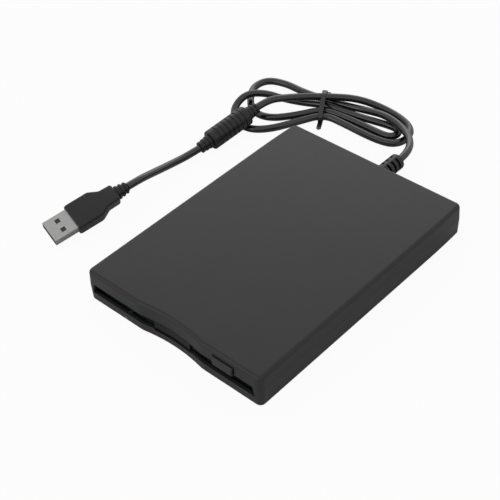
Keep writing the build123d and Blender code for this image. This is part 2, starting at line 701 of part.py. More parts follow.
def cam_slot(lug_y):
    """Inclined slot that turns the slider's travel into the holder's drop."""
    rise = HOLDER_DROP
    run = EJECT_TRAVEL
    length = math.hypot(rise, run)
    profile = SlotCenterToCenter(length, 2 * (LUG_R + CAM_CLEAR))
    tilt = math.degrees(math.atan2(-rise, run))
    centre = Location((0, lug_y + run / 2, LUG_Z - rise / 2), (tilt, 0, 0))
    blank = extrude(Plane.YZ * profile, 2 * SLIDER_HALF_W + 4, both=True)
    return centre * blank


def eject_slider():
    """Pressed U-shaped plate: front bar, two side rails and flanges with cam slots."""
    rail_x = SLIDER_HALF_W - SLIDER_RAIL_W
    bar_rear = SLIDER_FRONT_Y + SLIDER_BAR_D
    plate = box(
        -SLIDER_HALF_W, SLIDER_HALF_W, SLIDER_FRONT_Y, SLIDER_REAR_Y, SLIDER_Z, SLIDER_TOP_Z
    )
    plate -= box(-rail_x, rail_x, bar_rear, SLIDER_REAR_Y + 1, SLIDER_Z - 1, SLIDER_TOP_Z + 1)
    plate -= box(*SLIDER_WINDOW, SLIDER_FRONT_Y + 4, bar_rear - 4, SLIDER_Z - 1, SLIDER_TOP_Z + 1)
    inner_corners = [
        e for e in plate.edges().filter_by(Axis.Z)
        if abs(abs(e.center().X) - rail_x) < 0.01 and abs(e.center().Y - bar_rear) < 0.01
    ]
    plate = fillet(inner_corners, 3.0)
    flange = box(
        SLIDER_HALF_W - SHEET_T, SLIDER_HALF_W, SLIDER_FRONT_Y, SLIDER_REAR_Y,
        FLANGE_Z0, SLIDER_Z + SHEET_T / 2,
    )
    for lug_y in LUG_YS:
        flange += box(
            SLIDER_HALF_W - SHEET_T, SLIDER_HALF_W,
            lug_y - CHEEK_MARGIN, lug_y + EJECT_TRAVEL + CHEEK_MARGIN,
            CHEEK_Z0, FLANGE_Z0 + 0.1,
        )
    slider = plate + both_sides(flange)
    for lug_y in LUG_YS:
        slider -= cam_slot(lug_y)
    guide = SlotCenterToCenter(EJECT_TRAVEL + 0.4, 2 * (GUIDE_R + CAM_CLEAR))
    guide_cut = extrude(Plane.YZ * guide, 2 * SLIDER_HALF_W, both=True)
    slider -= Pos(0, GUIDE_Y + EJECT_TRAVEL / 2, GUIDE_Z) * guide_cut
    slider -= rod_z(1.5, SLIDER_Z - 1, SLIDER_TOP_Z + 1, BUTTON_X, SLIDER_FRONT_Y + 4.5)
    slider += box(
        SLIDER_SPRING_X - 1.4, SLIDER_SPRING_X + 1.4, SLIDER_TAB_Y, SLIDER_TAB_Y + SPRING_TAB_T,
        SLIDER_Z + 0.1, SLIDER_SPRING_Z + 1.2,
    )
    return slider


def slider_spring():
    """Extension spring between the chassis tab and the slider's tab."""
    start = GUIDE_Y + SPRING_TAB_T + 0.2
    length = SLIDER_TAB_Y - 0.2 - start
    turns = 10
    winding = coil(SLIDER_SPRING_R, SPRING_WIRE, turns, (length - SPRING_WIRE) / turns)
    place = Pos(SLIDER_SPRING_X, start + length - SPRING_WIRE / 2, SLIDER_SPRING_Z) * Rot(90, 0, 0)
    return place * winding


# ================================================================ disk holder and shutter lever
def disk_holder():
    """Pressed sleeve that carries the disk: roof, sides and two bottom lips."""
    holder = box(
        -HOLDER_HALF_W, HOLDER_HALF_W, HOLDER_FRONT_Y, HOLDER_REAR_Y, HOLDER_Z0, ROOF_TOP_Z
    )
    inner_x = HOLDER_HALF_W - SHEET_T
    holder -= box(
        -inner_x, inner_x, HOLDER_FRONT_Y - 1, HOLDER_REAR_Y + 1, HOLDER_GAP_Z0, ROOF_Z
    )
    holder -= box(
        -HOLDER_LIP_X, HOLDER_LIP_X, HOLDER_FRONT_Y - 1, HOLDER_REAR_Y + 1,
        HOLDER_Z0 - 1, HOLDER_GAP_Z0 + 1,
    )
    # front edge flared so the disk finds its way in
    flare_x = HOLDER_HALF_W - HOLDER_FLARE_INSET
    holder -= box(
        -flare_x, flare_x, HOLDER_FRONT_Y - 1, HOLDER_FRONT_Y + 3, ROOF_Z - 1, ROOF_TOP_Z + 1
    )
    window = Pos(0, HUB_Y) * Circle(ROTOR_R - 1)
    holder -= slab(window, ROOF_Z - 1, ROOF_TOP_Z + 1)
    holder -= box(
        -HEAD_GAP_HALF_W, HEAD_GAP_HALF_W, HUB_Y + HEAD_GAP_FROM_HUB, HOLDER_REAR_Y + 1,
        ROOF_Z - 1, ROOF_TOP_Z + 1,
    )
    holder -= slab(lever_arc(LEVER_PIN_R + 0.4), ROOF_Z - 1, ROOF_TOP_Z + 1)
    for lug_y in LUG_YS:
        lug = rod_x(LUG_R, HOLDER_HALF_W - 0.1, HOLDER_HALF_W + LUG_REACH, lug_y, LUG_Z)
        holder += both_sides(lug)
    post = rod_z(PIVOT_R, ROOF_TOP_Z - 0.1, LEVER_Z + LEVER_T + 1.8, *LEVER_PIVOT)
    return holder + post


def lever_angle():
    return math.degrees(
        math.atan2(LEVER_PIN[1] - LEVER_PIVOT[1], LEVER_PIN[0] - LEVER_PIVOT[0])
    )


def lever_arc(half_width):
    """Plan shape of the path that the lever's pin sweeps, as a curved slot."""
    start = lever_angle()
    arc = CenterArc(LEVER_PIVOT, LEVER_R, start, -LEVER_SWING)
    return SlotArc(arc, 2 * half_width)


def shutter_lever():
    """Swinging lever whose pin pushes the disk's shutter aside."""
    hub = Pos(*LEVER_PIVOT) * Circle(LEVER_HUB_R)
    tip = Pos(*LEVER_PIN) * Circle(LEVER_TIP_R)
    plate = slab(make_hull((hub + tip).edges()), LEVER_Z, LEVER_Z + LEVER_T)
    plate -= rod_z(PIVOT_R + RUN_CLEAR, LEVER_Z - 1, LEVER_Z + LEVER_T + 1, *LEVER_PIVOT)
    pin = rod_z(LEVER_PIN_R, LEVER_Z - LEVER_PIN_L, LEVER_Z + 0.2, *LEVER_PIN)
    return plate + pin


def lever_spring():
    """Torsion spring round the lever's post, on top of the lever."""
    mean_r = PIVOT_R + SPRING_WIRE / 2 + 0.2
    winding = coil(mean_r, SPRING_WIRE, 3, 0.42)
    return Pos(*LEVER_PIVOT, LEVER_Z + LEVER_T + SPRING_WIRE / 2 + 0.05) * winding


# ================================================================ chassis
def chassis():
    """Pressed tray with two side walls, slotted for the holder's lugs."""
    floor = box(
        -CHASSIS_HALF_W, CHASSIS_HALF_W, CHASSIS_FRONT_Y, CHASSIS_REAR_Y,
        CHASSIS_Z, CHASSIS_TOP_OF_FLOOR,
    )
    windows = [
        Pos(0, HUB_Y) * Circle(STATOR_R - 1.5),
        Pos(0, CHASSIS_FRONT_Y + 11) * RectangleRounded(54, 13, 2),
        Pos(-SIDE_WINDOW_X, CHASSIS_REAR_Y - 21.5) * RectangleRounded(15, 41, 2),
        Pos(SIDE_WINDOW_X, CHASSIS_REAR_Y - 42) * RectangleRounded(20, 60, 2),
    ]
    for window in windows:
        floor -= slab(window, CHASSIS_Z - 1, CHASSIS_TOP_OF_FLOOR + 1)
    # slot that the carriage's tongue runs along
    floor -= box(
        -TONGUE_HALF_W - 1.5, TONGUE_HALF_W + 1.5,
        HEAD_Y - TONGUE_LEAD - TRACKS_TRAVEL - 4.2, CHASSIS_REAR_Y - 1,
        CHASSIS_Z - 1, CHASSIS_TOP_OF_FLOOR + 1,
    )
    wall = box(
        WALL_INNER_X, CHASSIS_HALF_W, CHASSIS_FRONT_Y, CHASSIS_REAR_Y,
        CHASSIS_Z + 0.1, CHASSIS_TOP_Z,
    )
    for lug_y in LUG_YS:
        wall -= box(
            WALL_INNER_X - 1, CHASSIS_HALF_W + 1,
            lug_y - LUG_R - CAM_CLEAR, lug_y + LUG_R + CAM_CLEAR,
            LUG_Z - HOLDER_DROP - LUG_R - 0.4, CHASSIS_TOP_Z + 1,
        )
    wall += rod_x(GUIDE_R, SLIDER_HALF_W - SHEET_T - 0.1, WALL_INNER_X + 0.1, GUIDE_Y, GUIDE_Z)
    tray = floor + both_sides(wall)
    # tab that anchors the slider's spring, over the left rail
    tab_z0 = SLIDER_TOP_Z + 0.4
    tab = box(
        -CHASSIS_HALF_W, SLIDER_SPRING_X + 1.4, GUIDE_Y, GUIDE_Y + SPRING_TAB_T,
        tab_z0, SLIDER_SPRING_Z + 1.2,
    )
    tab += box(
        -CHASSIS_HALF_W, -WALL_INNER_X, GUIDE_Y, GUIDE_Y + SPRING_TAB_T,
        CHASSIS_TOP_Z - 0.1, tab_z0 + 0.1,
    )
    tray += tab
    # upright that carries the head motor
    upright = box(
        RAIL_X - 7, RAIL_X + 7, CHASSIS_REAR_Y - SHEET_T, CHASSIS_REAR_Y,
        CHASSIS_Z + 0.1, RAIL_Z + MOTOR_R,
    )
    upright -= rod_y(SCREW_R + 0.6, CHASSIS_REAR_Y - 2, CHASSIS_REAR_Y + 1, RAIL_X, RAIL_Z)
    tray += upright
    for x, y in CHASSIS_SCREWS:
        tray -= rod_z(SCREW_SHANK_R + SCREW_CLEAR, CHASSIS_Z - 1, CHASSIS_TOP_OF_FLOOR + 1, x, y)
    return tray


def chassis_screws():
    screw = rod_z(SCREW_SHANK_R, -1.6 - SHEET_T, 0.05, 0, 0)
    screw += rod_z(SCREW_HEAD_R, 0, 0.6, 0, 0)
    for turn in (0, 90):
        screw -= Rot(0, 0, turn) * box(-1.1, 1.1, -0.2, 0.2, 0.35, 1)
    return [Pos(x, y, CHASSIS_TOP_OF_FLOOR) * screw for x, y in CHASSIS_SCREWS]


# ================================================================ spindle
def spindle_rotor():
    """Flat motor rotor with the hub plate, centring shaft and sprung drive pin."""
    rotor = rod_z(ROTOR_R, ROTOR_Z, ROTOR_Z + ROTOR_T, 0, 0)
    rotor += rod_z(PLATTER_R, ROTOR_Z, ROTOR_Z + ROTOR_T + PLATTER_T, 0, 0)
    for turn in range(0, 360, 60):
        rotor -= Rot(0, 0, turn) * rod_z(1.3, ROTOR_Z - 1, ROTOR_Z + 2, ROTOR_R - 3, 0)
    rotor += rod_z(SHAFT_R, FLOOR_Z + 0.1, SHAFT_TOP_Z, 0, 0)
    rotor += rod_z(DRIVE_PIN_R, ROTOR_Z + 0.2, SHAFT_TOP_Z - 0.6, DRIVE_PIN_AT, 0)
    return Pos(0, HUB_Y, 0) * rotor


def spindle_bearing():
    ring = rod_z(3.2, BOARD_TOP_Z, ROTOR_Z - 0.1, 0, HUB_Y)
    return ring - rod_z(SHAFT_R + RUN_CLEAR, FLOOR_Z, ROTOR_Z + 1, 0, HUB_Y)


def motor_board():
    board = rod_z(STATOR_R, FLOOR_Z, BOARD_TOP_Z, 0, HUB_Y)
    return board - rod_z(SHAFT_R + 0.3, FLOOR_Z - 1, BOARD_TOP_Z + 1, 0, HUB_Y)


def stator_coils():
    coil_ring = rod_z(COIL_R, BOARD_TOP_Z, ROTOR_Z - 0.2, COIL_AT, 0)
    coil_ring -= rod_z(COIL_R - 1.2, BOARD_TOP_Z - 1, ROTOR_Z + 1, COIL_AT, 0)
    step = 360 / COIL_COUNT
    return [Pos(0, HUB_Y, 0) * Rot(0, 0, i * step) * coil_ring for i in range(COIL_COUNT)]


# ================================================================ heads and carriage
def head_carriage():
    """Moulded carriage: cross block on the two rails, tongue for the lower head."""
    y1 = CARRIAGE_Y0 + CARRIAGE_D
    block = box(
        -CARRIAGE_HALF_W, CARRIAGE_HALF_W, CARRIAGE_Y0, y1, CARRIAGE_Z0, CARRIAGE_Z1
    )
    block = fillet(block.edges().filter_by(Axis.Y), 1.0)
    tongue = box(
        -TONGUE_HALF_W, TONGUE_HALF_W, HEAD_Y - TONGUE_LEAD, y1,
        CARRIAGE_Z0 - TONGUE_T, CARRIAGE_Z0 + 0.05,
    )
    front_corners = tongue.edges().filter_by(Axis.Z).group_by(Axis.Y)[0]
    tongue = fillet(front_corners, 2.0)
    ear = box(6.4, 7.8, CARRIAGE_Y0, y1, CARRIAGE_Z1 - 0.1, ARM_HINGE_Z + 1.6)
    carriage = block + tongue + both_sides(ear)
    carriage += box(
        -FLAG_X, -CARRIAGE_HALF_W + 0.5, CARRIAGE_Y0 + 1, y1 - 1, FLAG_Z, FLAG_Z + FLAG_T
    )
    carriage -= rod_y(SCREW_R + RUN_CLEAR, CARRIAGE_Y0 - 1, y1 + 1, RAIL_X, RAIL_Z)
    carriage -= rod_y(ROD_R + RUN_CLEAR, CARRIAGE_Y0 - 1, y1 + 1, -RAIL_X, RAIL_Z)
    pin_hole = rod_x(ARM_PIN_R, -9, 9, ARM_HINGE_Y, ARM_HINGE_Z)
    return carriage - pin_hole


def arm_hinge_pin():
    return rod_x(ARM_PIN_R, -8.0, 8.0, ARM_HINGE_Y, ARM_HINGE_Z)


def lower_head():
    z0 = CARRIAGE_Z0 + 0.05
    pad = box(-HEAD_R - 0.8, HEAD_R + 0.8, HEAD_Y - HEAD_R, HEAD_Y + HEAD_R, z0, HEAD_TOP_Z - 0.7)
    return pad + rod_z(HEAD_R, z0, HEAD_TOP_Z, 0, HEAD_Y)


def arm_clearance_z():
    """Lowest point of the raised upper head, just above the disk's space."""
    return ROOF_Z + 0.1


def upper_arm():
    """Arm over the disk, hinged at the rear of the carriage."""
    z0 = ARM_HINGE_Z - ARM_T / 2
    outline = Polyline(
        (-ARM_HALF_W, ARM_HINGE_Y), (-ARM_HALF_W, HEAD_Y + 14), (-3.2, HEAD_Y - 3.5),
        (3.2, HEAD_Y - 3.5), (ARM_HALF_W, HEAD_Y + 14), (ARM_HALF_W, ARM_HINGE_Y), close=True,
    )
    arm = slab(make_face(outline), z0, z0 + ARM_T)
    arm -= box(-2, 2, HEAD_Y + 8, ARM_HINGE_Y - 7.5, z0 - 1, z0 + ARM_T + 1)
    arm -= box(-9, 9, ARM_HINGE_Y - 1.9, ARM_HINGE_Y + 1, z0 - 1, z0 + ARM_T + 1)
    barrel = rod_x(1.6, -ARM_HALF_W + 2.2, ARM_HALF_W - 2.2, ARM_HINGE_Y, ARM_HINGE_Z)
    web = box(
        -ARM_HALF_W + 2.2, ARM_HALF_W - 2.2, ARM_HINGE_Y - 2.2, ARM_HINGE_Y,
        z0, z0 + ARM_T,
    )
    arm += barrel + web
    return arm - rod_x(ARM_PIN_R + RUN_CLEAR, -9, 9, ARM_HINGE_Y, ARM_HINGE_Z)


def upper_head():
    z1 = ARM_HINGE_Z - ARM_T / 2
    return rod_z(HEAD_R, arm_clearance_z(), z1, 0, HEAD_Y)


def arm_spring():
    """Torsion spring on the hinge pin beside the arm's barrel."""
    mean_r = ARM_PIN_R + SPRING_WIRE / 2 + 0.15
    winding = coil(mean_r, SPRING_WIRE, 4, 0.5)
    return Pos(ARM_HALF_W - 1.7, ARM_HINGE_Y, ARM_HINGE_Z) * Rot(0, 90, 0) * winding


def lead_screw():
    """Screw with a thin front journal; the rear end runs into the motor."""
    front_y = BUSH_Y0 + BUSH_D + 0.1
    screw = rod_y(SCREW_R, front_y, CHASSIS_REAR_Y + 6, RAIL_X, RAIL_Z)
    return screw + rod_y(0.8, BUSH_Y0 + 0.2, front_y + 0.1, RAIL_X, RAIL_Z)


def rail_block(x, y0, depth, hole_r):
    """Small pedestal on the tray that holds one end of a rail."""
    block = box(x - 2.6, x + 2.6, y0, y0 + depth, CHASSIS_TOP_OF_FLOOR, RAIL_Z + 2.0)
    top = block.edges().filter_by(Axis.Y).group_by(Axis.Z)[-1]
    block = fillet(top, 1.4)
    return block - rod_y(hole_r, y0 - 1, y0 + depth + 1, x, RAIL_Z)


def screw_bushing():
    return rail_block(RAIL_X, BUSH_Y0, BUSH_D, 0.8 + RUN_CLEAR)


def rod_clamps():
    rear_y = CHASSIS_REAR_Y - BUSH_D
    return [
        rail_block(-RAIL_X, BUSH_Y0, BUSH_D, ROD_R + 0.02),
        rail_block(-RAIL_X, rear_y, BUSH_D, ROD_R + 0.02),
    ]


def guide_rod():
    return rod_y(ROD_R, BUSH_Y0, CHASSIS_REAR_Y, -RAIL_X, RAIL_Z)


def stepper_motor():
    """Can motor bolted to the tray's upright."""
    y0 = CHASSIS_REAR_Y
    can = rod_y(MOTOR_R, y0, y0 + MOTOR_L, RAIL_X, RAIL_Z)
    can = fillet(can.faces().sort_by(Axis.Y)[-1].edges(), 0.5)
    flange = box(RAIL_X - 7, RAIL_X + 7, y0, y0 + SHEET_T, RAIL_Z - 3, RAIL_Z + 3)
    flange = fillet(flange.edges().filter_by(Axis.Y), 2.0)
    body = can + flange
    return body - rod_y(SCREW_R + RUN_CLEAR, y0 - 1, y0 + 6.5, RAIL_X, RAIL_Z)


def track_sensor():
    """Optical fork that the carriage's flag enters at the outermost track."""
    x0 = -FLAG_X - 2.4
    x1 = -CARRIAGE_HALF_W - 1.2
    y0 = CARRIAGE_Y0 - 0.5
    body = box(x0, x1, y0, y0 + CARRIAGE_D + 1, CHASSIS_TOP_OF_FLOOR, FLAG_Z + FLAG_T + 2.0)
    gap = box(
        -FLAG_X - 0.5, x1 + 1, y0 - 1, y0 + CARRIAGE_D + 2,
        FLAG_Z - 0.5, FLAG_Z + FLAG_T + 0.5,
    )
    return body - gap


def trace_strip(path):
    """A thin closed outline along an open path."""
    return make_face(offset(path, FLEX_T / 2, side=Side.BOTH, kind=Kind.ARC).edges())


def head_flex():
    """Flat ribbon from the carriage down to the main board, with a slack bend."""
    y = CARRIAGE_Y0 + CARRIAGE_D / 2
    start_x = -CARRIAGE_HALF_W - 0.1
    path = FilletPolyline(
        (start_x, 8.2), (start_x - 3, 9.6), (start_x - 10, 9.0), (start_x - 13.5, BOARD_TOP_Z + 1.1),
        radius=1.6,
    )
    ribbon = Plane.XZ.offset(-y - FLEX_W / 2) * trace_strip(path)
    return extrude(ribbon, FLEX_W)


# ================================================================ boards
def main_board():
    """L-shaped circuit board on the floor of the case."""
    board = box(
        -BOARD_HALF_W, BOARD_HALF_W, BOARD_FRONT_Y, BOARD_STRIP_REAR_Y, FLOOR_Z, BOARD_TOP_Z
    )
    board += box(
        -BOARD_HALF_W, BOARD_SIDE_X, BOARD_STRIP_REAR_Y - 1, BOARD_REAR_Y, FLOOR_Z, BOARD_TOP_Z
    )
    board -= rod_z(STATOR_R + 0.5, FLOOR_Z - 1, BOARD_TOP_Z + 1, 0, HUB_Y)
    for x, y in CHASSIS_SCREWS:
        board -= rod_z(BOSS_R + 0.3, FLOOR_Z - 1, BOARD_TOP_Z + 1, x, y)
    return board


def controller_chips():
    """Drive controller, motor driver and small parts on the main board."""
    strip_y = BOARD_STRIP_REAR_Y
    side_x = -SIDE_WINDOW_X
    return [
        box(-21, -9, strip_y - 13.5, strip_y - 2.5, BOARD_TOP_Z, BOARD_TOP_Z + 1.1),
        box(3, 11, strip_y - 11.5, strip_y - 4.5, BOARD_TOP_Z, BOARD_TOP_Z + 1.0),
        box(15, 20, strip_y - 11.5, strip_y - 5.5, BOARD_TOP_Z, BOARD_TOP_Z + 0.9),
        box(side_x - 5, side_x + 4, HUB_Y + 34, HUB_Y + 43, BOARD_TOP_Z, BOARD_TOP_Z + 1.0),
        box(side_x - 3, side_x + 3, HUB_Y + 48, HUB_Y + 51, BOARD_TOP_Z, BOARD_TOP_Z + 0.9),
    ]


def flex_connector():
    y = CARRIAGE_Y0 + CARRIAGE_D / 2
    x = -CARRIAGE_HALF_W - 13.6
    return box(x - 1.4, x + 1.4, y - 3.4, y + 3.4, BOARD_TOP_Z, BOARD_TOP_Z + 0.9)


def switch_bodies():
    bodies = []
    half = SWITCH_BODY / 2
    for x in SWITCH_XS.values():
        body = box(
            x - half, x + half, SWITCH_Y - half, SWITCH_Y + half,
            BOARD_TOP_Z, BOARD_TOP_Z + SWITCH_BODY_H,
        )
        well = rod_z(
            PLUNGER_R + RUN_CLEAR, BOARD_TOP_Z + 0.2, BOARD_TOP_Z + SWITCH_BODY_H + 1, x, SWITCH_Y
        )
        bodies.append(body - well)
    return bodies


def switch_plunger(x):
    bottom = BOARD_TOP_Z + 0.2 + PLUNGER_TRAVEL + 0.05
    top = BOARD_TOP_Z + SWITCH_BODY_H + PLUNGER_RISE
    plunger = rod_z(PLUNGER_R, bottom, top, x, SWITCH_Y)
    return fillet(plunger.faces().sort_by(Axis.Z)[-1].edges(), 0.3)


def led():
    y0 = BOARD_FRONT_Y
    return box(LED_X - 0.8, LED_X + 0.8, y0, y0 + 1.4, BOARD_TOP_Z, BOARD_TOP_Z + 1.2)


def usb_board():
    return box(USB_X0, USB_X1, USB_Y0, USB_Y1, USB_BOARD_Z, USB_BOARD_Z + BOARD_T)


def bridge_chips():
    top = USB_BOARD_Z + BOARD_T
    middle = (USB_X0 + USB_X1) / 2
    return [
        box(middle - 5, middle + 2, USB_Y1 - 8.2, USB_Y1 - 1.2, top, top + 1.0),
        box(middle + 5, middle + 7.5, USB_Y1 - 7, USB_Y1 - 2, top, top + 0.9),
        box(USB_X0 + 2, USB_X0 + 5.5, USB_Y1 - 6.5, USB_Y1 - 2, top, top + 0.8),
    ]


def cable_header():
    top = USB_BOARD_Z + BOARD_T
    return box(USB_X1 - 4.5, USB_X1 - 0.5, USB_Y1 - 7.8, USB_Y1 - 1.4, top, top + 2.2)


def inner_wires():
    """Four thin wires from the strain relief's inner end to the header."""
    wires = []
    wire_r = 0.35
    header_x = USB_X1 - 0.4
    header_y = USB_Y1 - 4.6
    header_z = USB_BOARD_Z + BOARD_T + 1.1
    start_y = REAR_Y - WALL - 2.0
    for i in range(4):
        shift = (i - 1.5) * 1.0
        path = FilletPolyline(
            (RELIEF_X + shift, start_y, RELIEF_Z),
            (RELIEF_X + shift, header_y + shift, RELIEF_Z),
            (header_x + 6.4, header_y + shift, header_z),
            (header_x, header_y + shift, header_z),
            radius=1.2,
        )
        section = Plane(origin=path @ 0, z_dir=path % 0) * Circle(wire_r)
        wires.append(sweep(section, path=path))
    return wires


def board_link():
    """Stacking connector between the main board and the board at the rear."""
    y0 = USB_Y0 + LINK_SET_IN
    return box(USB_X0 + 2, USB_X0 + 16, y0, y0 + LINK_D, BOARD_TOP_Z, USB_BOARD_Z)


# ================================================================ lead
def strain_relief():
    """Ribbed boot: flange inside the wall, neck through it, cuts between the ribs."""
    inside = REAR_Y - WALL
    boot = rod_y(RELIEF_R, REAR_Y + 0.1, REAR_Y + RELIEF_L, RELIEF_X, RELIEF_Z)
    boot = fillet(boot.faces().sort_by(Axis.Y)[-1].edges(), 0.5)
    boot += rod_y(RELIEF_NECK_R, inside - 1, REAR_Y + 1, RELIEF_X, RELIEF_Z)
    boot += rod_y(RELIEF_R + 0.3, inside - 2.0, inside - 0.4, RELIEF_X, RELIEF_Z)
    ring = rod_y(RELIEF_R + 1, 0, 1.4, RELIEF_X, RELIEF_Z)
    ring -= rod_y(RELIEF_R - 1.2, -1, 2, RELIEF_X, RELIEF_Z)
    bridge = box(-0.8, 0.8, -1, 2, -RELIEF_R - 2, RELIEF_R + 2)
    pitch = (RELIEF_L - 3.4) / RELIEF_RIB_COUNT
    for i in range(RELIEF_RIB_COUNT):
        cut = ring - Pos(RELIEF_X, 0, RELIEF_Z) * bridge
        boot -= Pos(0, REAR_Y + 2.6 + i * pitch, 0) * cut
    return boot


def unit(start, end):
    return (Vector(*end) - Vector(*start)).normalized()


def corner_radii(points):
    """The largest arc that each corner's two runs allow."""
    radii = []
    for before, corner, after in zip(points, points[1:], points[2:]):
        turn = unit(before, corner).get_angle(unit(corner, after))
        run = min(math.dist(before, corner), math.dist(corner, after))
        radii.append(CABLE_BEND_SHARE * run / math.tan(math.radians(turn / 2)))
    return radii


def cable(points, name):
    """Round cable along straight runs joined by tangent arcs."""
    radii = corner_radii(points)
    path = FilletPolyline(*points, radius=radii)
    section = Plane(origin=path @ 0, z_dir=path % 0) * Circle(CABLE_D / 2)
    tube = sweep(section, path=path)
    expected = math.pi * (CABLE_D / 2) ** 2 * path.length
    print(name, "length", round(path.length, 1), "radii", [round(r, 1) for r in radii])
    print(name, "volume", round(tube.volume, 1), "section x length", round(expected, 1))
    return tube


def ferrite_plane():
    """Local frame of the ferrite: origin at its lower end, Z along the cable."""
    axis = unit(FERRITE_END, FERRITE_FAR)
    return Plane(origin=FERRITE_END, x_dir=Vector(axis.Y, -axis.X, 0), z_dir=axis)


def along(plane, distance):
    point = plane.origin + plane.z_dir * distance
    return (point.X, point.Y, point.Z)


def ringed_neck(radius, length, tip_radius, rings):
    """Short tapering sleeve along +Z with raised rings."""
    neck = Pos(0, 0, length / 2) * Cone(radius, tip_radius, length)
    for i in range(rings):
        z = length * (i + 0.8) / rings
        ring_r = radius + (tip_radius - radius) * z / length + 0.5
        neck += Pos(0, 0, z - 0.45) * Cylinder(ring_r, length / rings * 0.5)
    return neck


def ferrite_overmold():
    """Moulded jacket with shallow grooves, and a ringed neck at each end."""
    body = Pos(0, 0, FERRITE_L / 2) * Cylinder(FERRITE_R, FERRITE_L)
    body = fillet(body.edges().filter_by(GeomType.CIRCLE), 0.7)
    groove = Cylinder(FERRITE_R + 1, 0.7) - Cylinder(FERRITE_R - 0.35, 0.7)
    pitch = (FERRITE_L - 8) / 6
    for i in range(7):
        body -= Pos(0, 0, 4 + i * pitch) * groove
    neck = ringed_neck(3.2, FERRITE_RELIEF_L, 2.5, 3)
    body += Pos(0, 0, FERRITE_L) * neck
    body += Rot(180, 0, 0) * neck
    cavity = Pos(0, 0, FERRITE_L / 2) * Cylinder(FERRITE_CORE_R + 0.05, FERRITE_CORE_L + 0.1)
    body -= cavity
    return ferrite_plane().location * body


def ferrite_core():
    core = Cylinder(FERRITE_CORE_R, FERRITE_CORE_L)
    core -= Cylinder(CABLE_D / 2 + 0.05, FERRITE_CORE_L)
    core += Cylinder(CABLE_D / 2 - 0.1, FERRITE_CORE_L)
    return ferrite_plane().location * Pos(0, 0, FERRITE_L / 2) * core


def cable_tie():
    """Strap pulled round the passes of the lead, with its lock head and cut tail."""
    heading = math.radians(TIE_HEADING)
    across = Vector(math.cos(heading), math.sin(heading), 0)
    face = Plane(origin=(*TIE_AT, 0), x_dir=across, z_dir=across.cross(Vector(0, 0, 1)))
    rounds = Sketch() + [Pos(*at) * Circle(TIE_INNER_R) for at in TIE_ROUND]
    inner = make_hull(rounds.edges())
    strap = extrude(offset(inner, TIE_T) - inner, TIE_W / 2, both=True)
    deep, tall, wide = TIE_HEAD
    far_side = TIE_ROUND[0][0] - TIE_INNER_R
    head = box(far_side - deep, far_side - 0.05, TIE_LIFT, TIE_LIFT + tall, -wide / 2, wide / 2)
    head = fillet(head.edges(), 0.5)
    near_side = TIE_ROUND[1][0]
    tail_end = near_side + TIE_INNER_R + TIE_TAIL_L
    tail = box(near_side, tail_end, TIE_LIFT, TIE_LIFT + TIE_T, -TIE_W / 2, TIE_W / 2)
    point = tail.edges().filter_by(Axis.Y).group_by(Axis.X)[-1]
    tail = chamfer(point, TIE_W / 2 - 0.1)
    return face.location * (strap + head + tail)


def plug_plane():
    """Local frame of the plug: X across, Y through its thickness, Z towards the cable."""
    axis = Vector(*PLUG_AXIS).normalized()
    across = Vector(*PLUG_WIDTH_AXIS)
    across = (across - axis * across.dot(axis)).normalized()
    return Plane(origin=PLUG_TIP, x_dir=across, z_dir=axis)


def plug_overmold():
    """Moulded grip with a stepped shoulder and a ringed neck."""
    body = Pos(0, 0, PLUG_SHELL_OUT + PLUG_BODY_L / 2) * Box(PLUG_BODY_W, PLUG_BODY_H, PLUG_BODY_L)
    rear = body.faces().sort_by(Axis.Z)[-1].edges().filter_by(Axis.Y)
    body = chamfer(rear, 1.6)
    body = fillet(body.edges().filter_by(Axis.Z), 1.2)
    step_z = PLUG_SHELL_OUT + PLUG_BODY_L
    step = Pos(0, 0, step_z + PLUG_STEP_L / 2 - 1) * Box(PLUG_STEP_W, PLUG_STEP_H, PLUG_STEP_L + 2)
    step = fillet(step.edges().filter_by(Axis.Z), 1.2)
    grip = body + step
    grip += Pos(0, 0, step_z + PLUG_STEP_L) * ringed_neck(PLUG_NECK_R, PLUG_NECK_L, 2.5, 3)
    pocket_l = PLUG_SHELL_L - PLUG_SHELL_OUT
    pocket = Pos(0, 0, PLUG_SHELL_OUT + pocket_l / 2) * Box(
        PLUG_SHELL_W + 0.04, PLUG_SHELL_H + 0.04, pocket_l + 0.04
    )
    return plug_plane().location * (grip - pocket)


def plug_shell():
    """Folded steel sleeve with two latch windows in each wide face."""
    sleeve = Pos(0, 0, PLUG_SHELL_L / 2) * Box(PLUG_SHELL_W, PLUG_SHELL_H, PLUG_SHELL_L)
    sleeve = fillet(sleeve.edges().filter_by(Axis.Z), 0.5)
    inner_w = PLUG_SHELL_W - 2 * PLUG_SHELL_T
    inner_h = PLUG_SHELL_H - 2 * PLUG_SHELL_T
    sleeve -= Pos(0, 0, PLUG_SHELL_L / 2) * Box(inner_w, inner_h, PLUG_SHELL_L + 1)
    for x in (-2.6, 2.6):
        sleeve -= Pos(x, 0, 6.4) * Box(2.2, PLUG_SHELL_H + 2, 2.4)
    return plug_plane().location * sleeve


def plug_tongue():
    """Insulating tongue in the lower half of the sleeve, and its root block."""
    inner_w = PLUG_SHELL_W - 2 * PLUG_SHELL_T
    inner_h = PLUG_SHELL_H - 2 * PLUG_SHELL_T
    low = -inner_h / 2
    tongue = box(-inner_w / 2, inner_w / 2, low, low + 1.8, 0.6, PLUG_SHELL_L)
    root = box(-inner_w / 2, inner_w / 2, low + 1.7, inner_h / 2, PLUG_SHELL_OUT, PLUG_SHELL_L)
    return plug_plane().location * (tongue + root)


